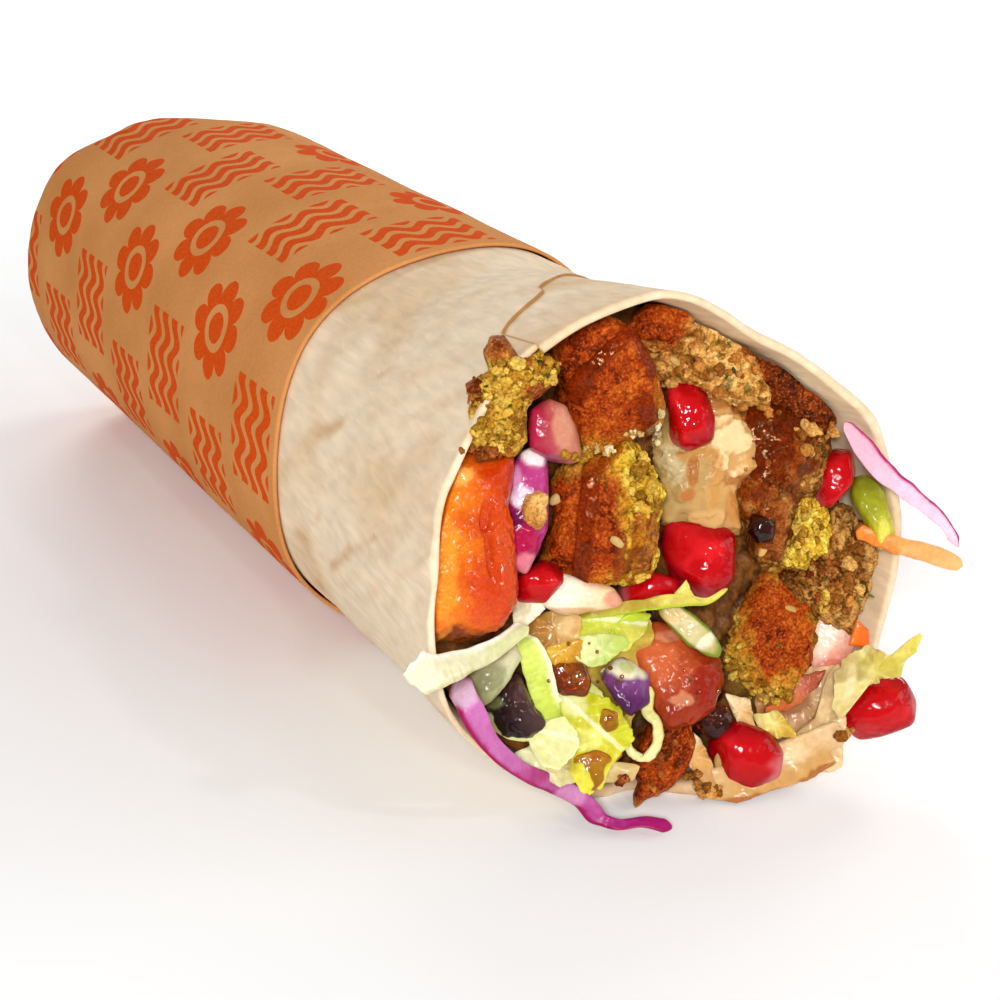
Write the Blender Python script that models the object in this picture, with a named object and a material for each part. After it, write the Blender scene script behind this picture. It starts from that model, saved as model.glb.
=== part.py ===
"""A falafel wrap lying on its side: a rolled tortilla in a paper sleeve, with its filling showing at the mouth.

The roll lies along Y. The sleeve's closed end points to +Y and the mouth to -Y. The roll's own line runs
through x = 0, the sleeve's front edge lies near y = 0 and the table is z = 0; at the end every point is
moved by ORIGIN, so that the origin is the middle of the footprint. Lengths are in millimetres until a mesh
is written, in metres.
"""

import math

import bpy
import numpy as np

MM = 0.001
GAP = 0.3

# The sleeve, from the paper's front edge (y = 0) to the closed end, narrowing by its taper.
PAPER_RADIUS = 36.5
PAPER_THICKNESS = 0.6
SLEEVE_TAPER = 0.014
SLEEVE_ROWS = (26.0, 62.0)
EDGE_BACK = 1.3
EDGE_WAVE = 2.2
EDGE_WAVE_AT = math.radians(133.0)
EDGE_SLANT = 1.0
# The closed end is pushed in askew: how far back its edge stands at angles from +X over the top, in degrees.
END_Y = (
    (40, 99.0), (80, 104.0), (112, 121.0), (140, 131.0), (170, 131.0), (220, 132.5), (280, 122.0), (340, 105.0),
)
END_CORNER = 7.0
END_HOLLOW = 2.0
END_ROOM = 1.8
CORNER_STEPS = (0.0, 26.0, 50.0, 71.0, 90.0)
# How far the round roll would sink into the table: it is pressed flat there, and rests on that strip.
SINK = 0.9

# The mouth, where the roll widens in front of the paper.
MOUTH_Y = 60.0
MOUTH_FLARE = 5.1
FLARE_POWER = 1.5
SHAPE_GROWTH = 1.6
# How far the mouth is out of round: added radius at angles from +X over the top, in degrees.
MOUTH_SHAPE = ((-100, 0.0), (-45, 3.2), (-5, 0.0), (25, -1.8), (58, -2.8), (92, 1.7), (115, 1.6), (150, 0.0),
               (190, 0.0), (225, -1.4))

# The sheet: one round tortilla, rolled, with its free edge lying on the layer below it.
DOUGH_RADIUS = PAPER_RADIUS - PAPER_THICKNESS - GAP
WALL = 2.3
LAP = 1.0
LAP_ENDS_Y = (-2.0, 10.0)
RISE_Y = (-18.0, -8.0)
INNER_ROWS = (-MOUTH_Y, -44.0, -22.0, 0.0, 50.0)
OUTER_ROWS = (-MOUTH_Y, -52.0, -44.0, -36.0, -28.0, -19.0, -10.0, 0.0, 8.0, 50.0)

# Around the roll, in degrees from +X over the top: how far forward the mouth's rim stands there.
RIM_Y = (
    (-150, -64.0), (-122, -61.5), (-98, -62.0), (-78, -71.0), (-55, -74.0), (-20, -70.0),
    (20, -67.0), (60, -62.0), (95, -60.0), (125, -58.5), (150, -59.5), (170, -65.0), (190, -65.5),
)
# Along the roll: the angle at which the sheet's free edge lies, from the rim to under the paper.
SEAM_AT = ((-75.0, 118.0), (-50.0, 117.0), (-40.0, 100.0), (-25.0, 66.0), (-5.0, 28.0), (5.0, 20.0))

# The mixed filling behind the pieces that show, and the pieces' own gap to the wall.
CORE_FRONT_Y = -43.0
CORE_ROWS = (-41.0, -20.0, 10.0, 60.0)
CORE_FRONT_RINGS = (0.35, 0.72)
CORE_BUMP = 1.2
CORE_ROOM = 1.0
CORE_ROUND = 26
WALL_ROOM = 0.9
SHORTEN_STEPS = 24
SHORTEN_BY = 0.95

# The pieces in the mouth face the front left and look a little upwards.
TURN = math.radians(-31.0)
TIP = math.radians(26.0)

# Each lump: where its middle is, half its width, depth and height as it faces the mouth, how far it is
# rolled in degrees, how square it is (2 is an ellipsoid), how uneven, and its rings and columns.
LUMPS = {
    "falafel_upper_left": ((-4.0, -52.5, 65.0), (8.6, 7.5, 10.8), 8, 3.2, 0.10, 9, 14),
    "falafel_middle": ((-7.5, -56.0, 46.5), (8.8, 7.5, 10.4), -8, 3.2, 0.10, 9, 14),
    "falafel_top_bit": ((5.0, -51.5, 72.5), (4.6, 4.5, 3.6), 20, 2.5, 0.10, 6, 9),
    "falafel_broken_gold": ((12.5, -52.5, 64.5), (7.4, 6.0, 7.8), 0, 2.5, 0.12, 8, 12),
    "falafel_dark_crust": ((24.5, -56.0, 59.0), (7.0, 5.5, 5.4), -38, 2.6, 0.10, 7, 11),
    "falafel_glazed": ((24.5, -55.5, 47.0), (9.4, 7.5, 11.4), 12, 2.5, 0.12, 9, 12),
    "falafel_right": ((31.5, -63.5, 30.5), (6.6, 5.5, 10.2), 0, 2.5, 0.12, 8, 11),
    "falafel_lower_right": ((24.0, -61.5, 20.5), (7.6, 7.0, 10.4), -4, 2.8, 0.10, 9, 14),
    "falafel_crumble_left": ((-20.5, -53.0, 68.0), (6.6, 5.5, 8.2), 22, 2.5, 0.12, 8, 11),
    "falafel_bottom_bit": ((-3.5, -66.0, 8.0), (6.4, 5.0, 5.2), 25, 2.5, 0.12, 7, 10),
    "sweet_potato_wedge": ((-31.5, -57.0, 48.0), (7.2, 6.0, 15.4), 6, 2.6, 0.05, 9, 11),
    "pickled_onion_dice": ((-14.5, -54.5, 61.5), (3.8, 3.6, 4.6), 14, 3.4, 0.03, 6, 9),
    "red_cabbage_core": ((-20.5, -57.0, 51.0), (2.8, 3.4, 9.0), -6, 2.6, 0.05, 7, 8),
    "pomegranate_aril_top": ((9.0, -56.5, 60.3), (4.2, 3.9, 5.8), 12, 2.4, 0.04, 6, 8),
    "pomegranate_aril_right": ((32.5, -62.5, 46.0), (3.6, 3.6, 5.6), -22, 2.4, 0.04, 6, 8),
    "pomegranate_aril_middle": ((10.5, -60.5, 36.5), (4.9, 4.4, 6.2), 8, 2.4, 0.04, 6, 8),
    "pomegranate_aril_low": ((1.0, -60.0, 33.6), (5.0, 3.6, 3.2), 0, 2.4, 0.04, 6, 8),
    "pomegranate_aril_left": ((-19.0, -59.0, 40.6), (3.6, 3.2, 3.0), 0, 2.4, 0.04, 6, 8),
    "pomegranate_aril_lip": ((12.5, -71.0, 7.4), (5.2, 4.2, 4.4), -18, 2.4, 0.04, 6, 8),
    "pomegranate_aril_edge": ((35.5, -77.6, 11.4), (5.6, 4.2, 4.5), 8, 2.4, 0.04, 6, 8),
    "tahini_pool": ((12.0, -56.0, 48.5), (7.0, 5.0, 8.6), 0, 2.4, 0.06, 8, 11),
    "pickled_pepper": ((34.5, -64.5, 39.5), (2.6, 3.0, 5.2), -14, 2.6, 0.03, 6, 8),
    "tomato_dice": ((3.0, -62.5, 20.5), (7.2, 6.4, 7.6), 18, 3.4, 0.05, 8, 11),
    "lettuce_heap": ((-12.5, -58.5, 20.0), (14.0, 9.5, 14.5), 20, 2.4, 0.10, 10, 16),
    "onion_purple_dice": ((-7.5, -67.5, 21.5), (3.4, 3.0, 4.4), 0, 3.0, 0.03, 6, 8),
    "onion_rib_white": ((-14.0, -60.5, 37.6), (5.2, 3.0, 2.6), 4, 2.6, 0.04, 6, 8),
    "cucumber_slice": ((-28.5, -61.5, 28.5), (2.8, 2.6, 4.0), -35, 2.6, 0.04, 6, 8),
    "aubergine_piece": ((-25.0, -60.5, 22.5), (4.4, 3.6, 4.6), -30, 2.6, 0.06, 6, 9),
    "onion_pink_slice": ((29.5, -67.5, 20.0), (3.0, 2.6, 5.0), 24, 2.8, 0.03, 6, 8),
    "falafel_yellow_bit": ((29.0, -63.5, 37.5), (3.6, 3.2, 5.2), 0, 2.5, 0.10, 6, 9),
}

# What lies in front of the rim, on the lower lip.
OUTSIDE = ("pomegranate_aril_edge",)

# Each strand: the points it runs through, half its width and half its thickness, and its wide direction.
STRANDS = {
    "red_cabbage_strand_right": (
        ((31.2, -68.2, 56.0), (36.2, -70.3, 52.2), (41.2, -71.7, 47.3), (48.0, -72.0, 40.5), (50.5, -73.5, 34.5)),
        2.2, 0.7, (0.3, -0.4, 0.85), 12,
    ),
    "carrot_shred_right": (
        ((34.5, -67.5, 37.2), (39.0, -71.8, 35.2), (44.5, -73.5, 33.0), (50.0, -75.5, 30.0)),
        1.9, 0.8, (0.1, 0.2, 0.95), 10,
    ),
    "carrot_shred_low": (
        ((16.5, -70.0, 12.0), (22.0, -70.5, 13.0), (27.0, -70.5, 16.0)), 1.3, 0.7, (0.0, 0.2, 0.95), 7,
    ),
    "red_cabbage_strand_bottom": (
        ((-33.0, -62.5, 27.5), (-35.2, -68.6, 26.8), (-31.3, -68.8, 20.5), (-26.0, -67.5, 14.5),
         (-19.5, -66.5, 7.5), (-13.5, -69.0, 3.2), (-9.0, -73.5, 2.0), (-5.0, -75.5, 2.2)),
        2.2, 1.0, (0.6, -0.3, 0.7), 20,
    ),
    "lettuce_strip_left": (
        ((-24.0, -63.5, 37.0), (-31.0, -66.0, 34.2), (-38.5, -69.0, 33.0), (-46.0, -69.5, 33.0)),
        2.6, 0.7, (0.1, -0.3, 0.95), 10,
    ),
    "lettuce_leaf_right": (
        ((16.5, -77.0, 4.0), (24.0, -77.8, 6.0), (28.5, -77.6, 11.0), (33.0, -76.5, 16.5), (41.0, -75.0, 20.0)),
        3.4, 0.7, (0.3, -0.8, 0.2), 14,
    ),
}

COLOURS = {
    "paper": ((0.56, 0.26, 0.11), 0.55), "dough": ((0.76, 0.64, 0.50), 0.75), "crust": ((0.25, 0.06, 0.02), 0.5),
    "crumb": ((0.42, 0.28, 0.05), 0.7), "orange": ((0.85, 0.22, 0.02), 0.3), "ruby": ((0.45, 0.005, 0.02), 0.1),
    "purple": ((0.30, 0.02, 0.16), 0.3), "pink": ((0.62, 0.25, 0.22), 0.3), "cream": ((0.70, 0.48, 0.26), 0.3),
    "green": ((0.58, 0.62, 0.10), 0.4), "red": ((0.70, 0.16, 0.08), 0.3), "dark": ((0.06, 0.02, 0.015), 0.3),
    "brown": ((0.22, 0.11, 0.03), 0.6),
}
FINISH = {
    "falafel": "crust", "falafel_broken": "crumb", "falafel_crumble": "crumb", "falafel_yellow": "crumb",
    "falafel_right": "crumb", "sweet": "orange", "carrot": "orange", "pomegranate": "ruby", "red": "purple",
    "onion_purple": "purple", "pickled_onion": "pink", "onion": "pink", "tahini": "cream", "pickled_pepper": "green",
    "lettuce": "green", "cucumber": "green", "tomato": "red", "aubergine": "dark",
}

ORIGIN = (2.37, 25.08, 0.0)
ROUND = 48
DOUGH_ROUND = 48
STRAND_SIDES = 8
STRAND_SAMPLES = 4


def smooth_step(value):
    value = np.clip(value, 0.0, 1.0)
    return value * value * (3.0 - 2.0 * value)


def through(pairs, at, period=None):
    """Value at each point of `at` on a curve that eases from each (place, value) pair to the next."""
    places = np.array([pair[0] for pair in pairs], float)
    values = np.array([pair[1] for pair in pairs], float)
    if period:
        at = (at - places[0]) % period + places[0]
        places = np.append(places, places[0] + period)
        values = np.append(values, values[0])
    at = np.clip(at, places[0], places[-1])
    step = np.clip(np.searchsorted(places, at, "right") - 1, 0, len(places) - 2)
    part = (at - places[step]) / (places[step + 1] - places[step])
    return values[step] + (values[step + 1] - values[step]) * smooth_step(part)


def dough_radius(y, angle=None):
    """The sheet's outer radius: a mild taper under the paper, a growing flare and an uneven mouth."""
    front = np.maximum(-y, 0.0) / MOUTH_Y
    radius = DOUGH_RADIUS - SLEEVE_TAPER * np.maximum(y, 0.0) + MOUTH_FLARE * front**FLARE_POWER
    if angle is None:
        return radius
    return radius + through(MOUTH_SHAPE, np.degrees(angle), period=360.0) * smooth_step(SHAPE_GROWTH * front)


def covered(y):
    """1 where the paper lies under the sheet, 0 where the sheet itself lies on the table."""
    return smooth_step((y - RISE_Y[0]) / (RISE_Y[1] - RISE_Y[0]))


def centre_height(y):
    return dough_radius(y) + (PAPER_THICKNESS + GAP) * covered(y) - SINK


def floor_height(y):
    return (PAPER_THICKNESS + GAP) * covered(y)


def ring(radius, angle, y, low):
    """Points at these radii and angles round the roll's line, pressed flat where they would go below `low`."""
    z = centre_height(y) + radius * np.sin(angle)
    return np.stack([radius * np.cos(angle), y, np.maximum(z, low)], axis=-1)


def add_node(name, points, faces, colour):
    """A node from points in millimetres and faces that point outwards."""
    mesh = bpy.data.meshes.new(name)
    moved = (np.asarray(points) - np.array(ORIGIN)) * MM
    mesh.from_pydata(moved.tolist(), [], [tuple(face) for face in faces])
    mesh.update()
    mesh.shade_smooth()
    mesh.set_sharp_from_angle(angle=math.radians(50.0))
    mesh.materials.append(material(colour))
    node = bpy.data.objects.new(name, mesh)
    bpy.context.scene.collection.objects.link(node)
    return node


def material(colour):
    """One Principled material for each colour, made when it is first used."""
    found = bpy.data.materials.get(colour)
    if found:
        return found
    base, roughness = COLOURS[colour]
    made = bpy.data.materials.new(colour)
    made.use_nodes = True
    shader = made.node_tree.nodes["Principled BSDF"]
    shader.inputs["Base Color"].default_value = (*base, 1.0)
    shader.inputs["Roughness"].default_value = roughness
    shader.inputs["Metallic"].default_value = 0.0
    return made


def closed_skin(rings, first, last):
    """Points and faces of a skin over rings of equal length, closed by a point before and one after them."""
    count = len(rings[0])
    points = np.concatenate([[first], *rings, [last]])
    faces = [(0, 1 + k, 1 + (k + 1) % count) for k in range(count)]
    for row in range(len(rings) - 1):
        low, high = 1 + row * count, 1 + (row + 1) * count
        for k in range(count):
            after = (k + 1) % count
            faces.append((low + k, high + k, high + after))
            faces.append((low + k, high + after, low + after))
    end, top = len(points) - 1, 1 + (len(rings) - 1) * count
    faces += [(end, top + (k + 1) % count, top + k) for k in range(count)]
    return points, outward(points, np.array(faces))


def outward(points, faces):
    """The faces, all turned round if the volume they enclose comes out negative."""
    a, b, c = (points[faces[:, k]] for k in range(3))
    volume = np.einsum("ij,ij->i", a, np.cross(b, c)).sum()
    return faces if volume > 0 else faces[:, ::-1]


def paper_edge(angle):
    """The paper's front edge, pulled back and forth a few millimetres by the hand that tucked it."""
    return EDGE_WAVE * np.cos(4.0 * (angle - EDGE_WAVE_AT)) + EDGE_SLANT * np.sin(angle + 0.4) - EDGE_BACK


def end_rings(angle, inset):
    """The roll's closed end, this far inside the paper: rings round its rounded corner, the last on its face."""
    rings = []
    for step in CORNER_STEPS:
        turn = math.radians(step)
        y = through(END_Y, np.degrees(angle), period=360.0) - END_CORNER * (1.0 - math.sin(turn)) - inset
        radius = dough_radius(y) + GAP + PAPER_THICKNESS - END_CORNER * (1.0 - math.cos(turn)) - inset
        rings.append(ring(radius, angle, y, inset))
    return rings


def end_middle(inset):
    """The middle of the closed end's hollow face."""
    every = np.linspace(0.0, 360.0, 72, endpoint=False)
    y = through(END_Y, every, period=360.0).mean() - END_HOLLOW - inset
    return np.array([0.0, y, centre_height(y)])


def build_sleeve():
    """The paper sleeve: a thin tube with a tucked, slightly hollow closed end."""
    angle = np.linspace(0.0, 2.0 * math.pi, ROUND, endpoint=False)

    def wall(inset):
        rings = []
        for y in (paper_edge(angle), *(np.full(ROUND, row) for row in SLEEVE_ROWS)):
            rings.append(ring(dough_radius(y) + GAP + PAPER_THICKNESS - inset, angle, y, inset))
        return rings + end_rings(angle, inset)

    inner, outer = wall(PAPER_THICKNESS), wall(0.0)
    points, faces = closed_skin(inner[::-1] + outer, end_middle(PAPER_THICKNESS), end_middle(0.0))
    add_node("paper_sleeve", points, faces, "paper")


def seam_angle(y):
    return np.radians(through(SEAM_AT, y))


def lap(y):
    """The step at the sheet's free edge, which the paper presses flat further in."""
    return LAP * (1.0 - smooth_step((y - LAP_ENDS_Y[0]) / (LAP_ENDS_Y[1] - LAP_ENDS_Y[0])))


def rim_y(angle):
    return through(RIM_Y, np.degrees(angle), period=360.0)


def turned_with_seam(y, around):
    """Angles round a row whose two ends sit at the free edge, easing back to plain ones across from it."""
    plain = seam_angle(np.array(-MOUTH_Y))
    shift = seam_angle(y) - plain
    return plain + 2.0 * math.pi * around + shift * (1.0 - smooth_step(2.0 * np.minimum(around, 1.0 - around)))


def build_tortilla():
    """The rolled sheet: its outer radius winds in by one lap over a turn, so its free edge makes a step."""
    around = np.linspace(0.0, 1.0, DOUGH_ROUND)

    def wall(inset, rows):
        rings = []
        for nominal in rows:
            angle = turned_with_seam(-MOUTH_Y if inset else nominal, around)
            y = nominal + (rim_y(angle) + MOUTH_Y) * max(-nominal / MOUTH_Y, 0.0)
            radius = dough_radius(y, angle) - (inset if inset else lap(y) * around)
            rings.append(ring(radius, angle, y, floor_height(y) + inset))
        angle = turned_with_seam(-MOUTH_Y if inset else nominal, around)
        return rings + end_rings(angle, inset + END_ROOM)

    inner, outer = wall(WALL, INNER_ROWS), wall(0.0, OUTER_ROWS)
    points, faces = closed_skin(inner[::-1] + outer, end_middle(WALL + END_ROOM), end_middle(END_ROOM))
    add_node("tortilla", points, faces, "dough")


def hollow_radius(y, angle=None):
    """How far from the roll's line a piece of filling may reach."""
    return dough_radius(y, angle) - WALL - GAP


def build_core():
    """The mixed filling that runs through the roll behind the pieces in the mouth."""
    angle = np.linspace(0.0, 2.0 * math.pi, CORE_ROUND, endpoint=False)
    low = floor_height(0.0) + WALL + GAP
    rings = []
    for share in CORE_FRONT_RINGS:
        y = CORE_FRONT_Y + CORE_BUMP + CORE_BUMP * np.sin(3.0 * angle + 4.0 * share) * share
        rings.append(ring(hollow_radius(y, angle) * share, angle, y, low))
    for y_flat in CORE_ROWS:
        y = np.full(CORE_ROUND, y_flat)
        rings.append(ring(hollow_radius(y, angle) - CORE_ROOM, angle, y, low))
    inset = 2.0 * END_ROOM + WALL
    front = np.array([0.0, CORE_FRONT_Y + CORE_BUMP, centre_height(CORE_FRONT_Y)])
    points, faces = closed_skin(rings + end_rings(angle, inset), front, end_middle(inset))
    add_node("filling_core", points, faces, "brown")


def facing(roll):
    """Columns are a piece's own right, depth and up, for pieces rolled by this many degrees."""
    right = np.array([math.cos(TURN), math.sin(TURN), 0.0])
    level = np.array([-math.sin(TURN), math.cos(TURN), 0.0])
    depth = level * math.cos(TIP) - np.array([0.0, 0.0, math.sin(TIP)])
    up = np.cross(right, depth)
    cos, sin = math.cos(math.radians(roll)), math.sin(math.radians(roll))
    return np.stack([right * cos - up * sin, depth, right * sin + up * cos], axis=1)


def directions(rings, columns):
    """Unit vectors on a sphere, ring by ring, without its two poles."""
    polar = (np.arange(rings - 1) + 1.0) / rings * math.pi
    turn = np.arange(columns) / columns * 2.0 * math.pi
    polar, turn = np.meshgrid(polar, turn, indexing="ij")
    return np.stack([np.sin(polar) * np.cos(turn), np.sin(polar) * np.sin(turn), np.cos(polar)], axis=-1)


def reach(local, half, square, uneven, seed):
    """Distance from the middle to the surface of an uneven superellipsoid, along each unit vector."""
    smooth = (np.abs(local / np.array(half)) ** square).sum(axis=-1) ** (-1.0 / square)
    phase = np.random.default_rng(seed).uniform(0.0, 2.0 * math.pi, (4, 4))
    wave = sum(np.sin(local @ (p[:3] * 1.1 + 0.8) * (2.0 + k) + p[3]) for k, p in enumerate(phase)) / 4.0
    return smooth * (1.0 - uneven + uneven * wave)


def strand_line(points, count):
    """Evenly spread points on a smooth curve through the given ones."""
    points = np.array(points, float)
    padded = np.concatenate([[2 * points[0] - points[1]], points, [2 * points[-1] - points[-2]]])
    at = np.linspace(0.0, len(points) - 1.0, count)
    step = np.minimum(at.astype(int), len(points) - 2)
    t = (at - step)[:, None]
    a, b, c, d = (padded[step + k] for k in range(4))
    return 0.5 * (2 * b + (c - a) * t + (2 * a - 5 * b + 4 * c - d) * t**2 + (3 * b - a - 3 * c + d) * t**3)


def limit_by_plane(length, along, distance):
    """Shorten each reach so that its end stays behind a plane at this distance along the plane's normal."""
    ahead = along > 1e-6
    return np.where(ahead, np.minimum(length, distance / np.where(ahead, along, 1.0)), length)


def limit_by_wall(length, centre, world):
    """Shorten each reach so that its end stays inside the sheet and above its lower lip."""
    for _ in range(SHORTEN_STEPS):
        end = centre + world * length[..., None]
        rise = end[..., 2] - centre_height(end[..., 1])
        room = hollow_radius(end[..., 1], np.arctan2(rise, end[..., 0]))
        inside = np.hypot(end[..., 0], rise) < room - WALL_ROOM
        above = end[..., 2] > floor_height(end[..., 1]) + WALL + GAP
        length = np.where(inside & above, length, length * SHORTEN_BY)
    return length


def behind_neighbour(length, world, name, other):
    """Flatten a lump where it presses on another one, at a plane that shares the way between their middles."""
    centre, half, roll, square = LUMPS[name][:4]
    place, size, spin, box = LUMPS[other][:4]
    between = np.array(place) - np.array(centre)
    distance = np.linalg.norm(between)
    normal = between / distance
    mine = float(reach(normal @ facing(roll), half, square, 0.0, 0))
    theirs = float(reach(-normal @ facing(spin), size, box, 0.0, 0))
    return limit_by_plane(length, world @ normal, distance * mine / (mine + theirs) - GAP / 2.0)


def behind_strand(length, world, centre, strand):
    """Flatten a lump where a strand lies on it."""
    route, half_width, half_thick, _, count = STRANDS[strand]
    for place in strand_line(route, STRAND_SAMPLES * count):
        distance = np.linalg.norm(place - centre)
        room = distance - math.hypot(half_width, half_thick) - GAP
        length = limit_by_plane(length, world @ ((place - centre) / distance), room)
    return length


def build_lump(number, name):
    """One piece of filling: an uneven rounded lump, flattened where something presses on it."""
    centre, half, roll, square, uneven, rings, columns = LUMPS[name]
    centre = np.array(centre)
    both_poles = np.array([[0.0, 0.0, 1.0], [0.0, 0.0, -1.0]])
    local = np.concatenate([directions(rings, columns).reshape(-1, 3), both_poles])
    world = local @ facing(roll).T
    length = reach(local, half, square, uneven, number)
    for other in LUMPS:
        if other != name:
            length = behind_neighbour(length, world, name, other)
    for strand in STRANDS:
        length = behind_strand(length, world, centre, strand)
    length = limit_by_plane(length, world @ np.array([0.0, 1.0, 0.0]), CORE_FRONT_Y - GAP - centre[1])
    if name not in OUTSIDE:
        length = limit_by_wall(length, centre, world)
    points = centre + world * length[:, None]
    rows = list(points[:-2].reshape(rings - 1, columns, 3))
    skin, faces = closed_skin(rows, points[-2], points[-1])
    add_node(name, skin, faces, colour_of(name))


def colour_of(name):
    """The finish whose key is the longest start of this name."""
    return FINISH[max((key for key in FINISH if name.startswith(key)), key=len)]


def build_strands():
    """Flat shreds that hang out of the mouth, each a ribbon along its line with rounded, narrower ends."""
    turn = np.arange(STRAND_SIDES) / STRAND_SIDES * 2.0 * math.pi
    for name, (route, half_width, half_thick, wide, count) in STRANDS.items():
        line = strand_line(route, count)
        tangent = np.gradient(line, axis=0)
        tangent /= np.linalg.norm(tangent, axis=1, keepdims=True)
        across = np.array(wide) - tangent * (tangent @ np.array(wide))[:, None]
        across /= np.linalg.norm(across, axis=1, keepdims=True)
        through_it = np.cross(tangent, across)
        share = np.sin(np.linspace(0.12, 0.88, count) * math.pi) ** 0.35
        rows = [
            line[k] + share[k] * (half_width * np.cos(turn)[:, None] * across[k]
                                  + half_thick * np.sin(turn)[:, None] * through_it[k])
            for k in range(count)
        ]
        points, faces = closed_skin(rows, line[0] - tangent[0] * half_thick, line[-1] + tangent[-1] * half_thick)
        add_node(name, points, faces, colour_of(name))


def main():
    for old in list(bpy.data.objects):
        bpy.data.objects.remove(old)
    build_sleeve()
    build_tortilla()
    build_core()
    build_strands()
    for number, name in enumerate(LUMPS):
        build_lump(number, name)


main()
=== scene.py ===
"""Looks of a falafel wrap: a rolled tortilla in a printed kraft sleeve, with its filling at the open mouth.

Lengths are in millimetres and points are in the roll's own frame until a mesh is written: the roll's line
runs along Y through x = 0, the sleeve's front edge lies near y = 0, the mouth is at -Y and the table is z = 0.
"""

from __future__ import annotations

import itertools
import logging
import math
from dataclasses import dataclass, field
from enum import Enum

import bpy
import numpy as np
from mathutils import Matrix

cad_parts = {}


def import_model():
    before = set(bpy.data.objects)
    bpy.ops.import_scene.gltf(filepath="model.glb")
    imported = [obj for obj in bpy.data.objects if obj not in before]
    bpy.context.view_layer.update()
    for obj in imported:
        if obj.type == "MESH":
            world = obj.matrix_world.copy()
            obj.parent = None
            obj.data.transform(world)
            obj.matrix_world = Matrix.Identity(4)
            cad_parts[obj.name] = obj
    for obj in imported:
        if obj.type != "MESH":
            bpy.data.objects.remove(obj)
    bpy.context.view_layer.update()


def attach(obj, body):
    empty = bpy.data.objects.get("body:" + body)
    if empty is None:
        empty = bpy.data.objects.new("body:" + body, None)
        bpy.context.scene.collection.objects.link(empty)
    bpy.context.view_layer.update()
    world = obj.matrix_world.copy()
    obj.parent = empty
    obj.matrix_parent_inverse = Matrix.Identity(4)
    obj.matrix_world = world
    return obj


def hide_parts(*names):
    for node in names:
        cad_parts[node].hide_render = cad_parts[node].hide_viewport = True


LOG = logging.getLogger("falafel_wrap")
Array = np.ndarray

MM = 0.001
ROLL_IN_ROW = np.array((-2.37, -25.08, 0.0))
BODY = "root"

# The mouth looks to the front left and a little upwards: its own right, depth and up.
MOUTH_TURN = math.radians(-30.7)
MOUTH_TIP = math.radians(26.0)
RIGHT = np.array((math.cos(MOUTH_TURN), math.sin(MOUTH_TURN), 0.0))
DEPTH = np.array(
    (-math.sin(MOUTH_TURN) * math.cos(MOUTH_TIP), math.cos(MOUTH_TURN) * math.cos(MOUTH_TIP), -math.sin(MOUTH_TIP))
)
UP = np.cross(RIGHT, DEPTH)
MOUTH_MIDDLE = np.array((0.0, -68.0, 40.0))


# ---------------------------------------------------------------- numbers and fields


def linear(code: str) -> Array:
    """Turn an sRGB hex colour to linear red, green and blue.

    Args:
        code: six hex digits after a hash sign.

    Returns:
        Three linear values from 0 to 1.
    """
    value = np.array([int(code[k : k + 2], 16) for k in (1, 3, 5)]) / 255.0
    return np.where(value <= 0.04045, value / 12.92, ((value + 0.055) / 1.055) ** 2.4)


def smooth_step(value: Array | float) -> Array:
    """Ease from 0 to 1: 3 v squared less 2 v cubed, with v held from 0 to 1."""
    held = np.clip(value, 0.0, 1.0)
    return held * held * (3.0 - 2.0 * held)


def between(value: Array | float, low: float, high: float) -> Array:
    """Ease from 0 at `low` to 1 at `high`, which may be the smaller."""
    return smooth_step((np.asarray(value) - low) / (high - low))


def stacked(*parts: Array | float) -> Array:
    """Coordinates as points, each spread over the others' grid first."""
    return np.stack(np.broadcast_arrays(*parts), axis=-1)


def mixed(first: Array, second: Array, share: Array | float) -> Array:
    """The first value where the share is 0 and the second where it is 1.

    Args:
        first: values or colours.
        second: values or colours of the same shape.
        share: one number for each value, or for each colour.

    Returns:
        The weighted sum.
    """
    share = np.asarray(share, float)
    if np.ndim(first) > np.ndim(share) or np.ndim(second) > np.ndim(share):
        share = share[..., None]
    return first * (1.0 - share) + second * share


def lattice(corner: Array, seed: int) -> Array:
    """A fixed number from -1 to 1 for each whole-number point: its coordinates times primes, shuffled bit by bit."""
    shuffled = (corner * np.array((73856093, 19349663, 83492791))).sum(axis=-1) + seed * 374761393
    shuffled = (shuffled ^ (shuffled >> 13)) * 1274126177
    return ((shuffled ^ (shuffled >> 16)) & 0xFFFF) / 32767.5 - 1.0


def noise(points: Array, size: float, seed: int) -> Array:
    """Smooth noise from -1 to 1: each cell's eight lattice numbers, eased from corner to corner.

    Args:
        points: points in millimetres, the last axis of length 3.
        size: the cell's size in millimetres.
        seed: which pattern.

    Returns:
        One value for each point.
    """
    scaled = points / size
    low = np.floor(scaled).astype(np.int64)
    part = smooth_step(scaled - low)
    total = np.zeros(points.shape[:-1])
    for corner in itertools.product((0, 1), repeat=3):
        at = np.array(corner)
        total += np.where(at, part, 1.0 - part).prod(axis=-1) * lattice(low + at, seed)
    return total


def fractal(points: Array, size: float, seed: int, octaves: int = 3) -> Array:
    """Noise added to itself at half the size and 0.55 of the height, again and again.

    Args:
        points: points in millimetres.
        size: the largest cell's size in millimetres.
        seed: which pattern.
        octaves: how many layers.

    Returns:
        One value for each point, mostly from -1 to 1.
    """
    layers = [0.55**k * noise(points, size * 0.5**k, seed + 17 * k) for k in range(octaves)]
    return sum(layers) / 1.4


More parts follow.
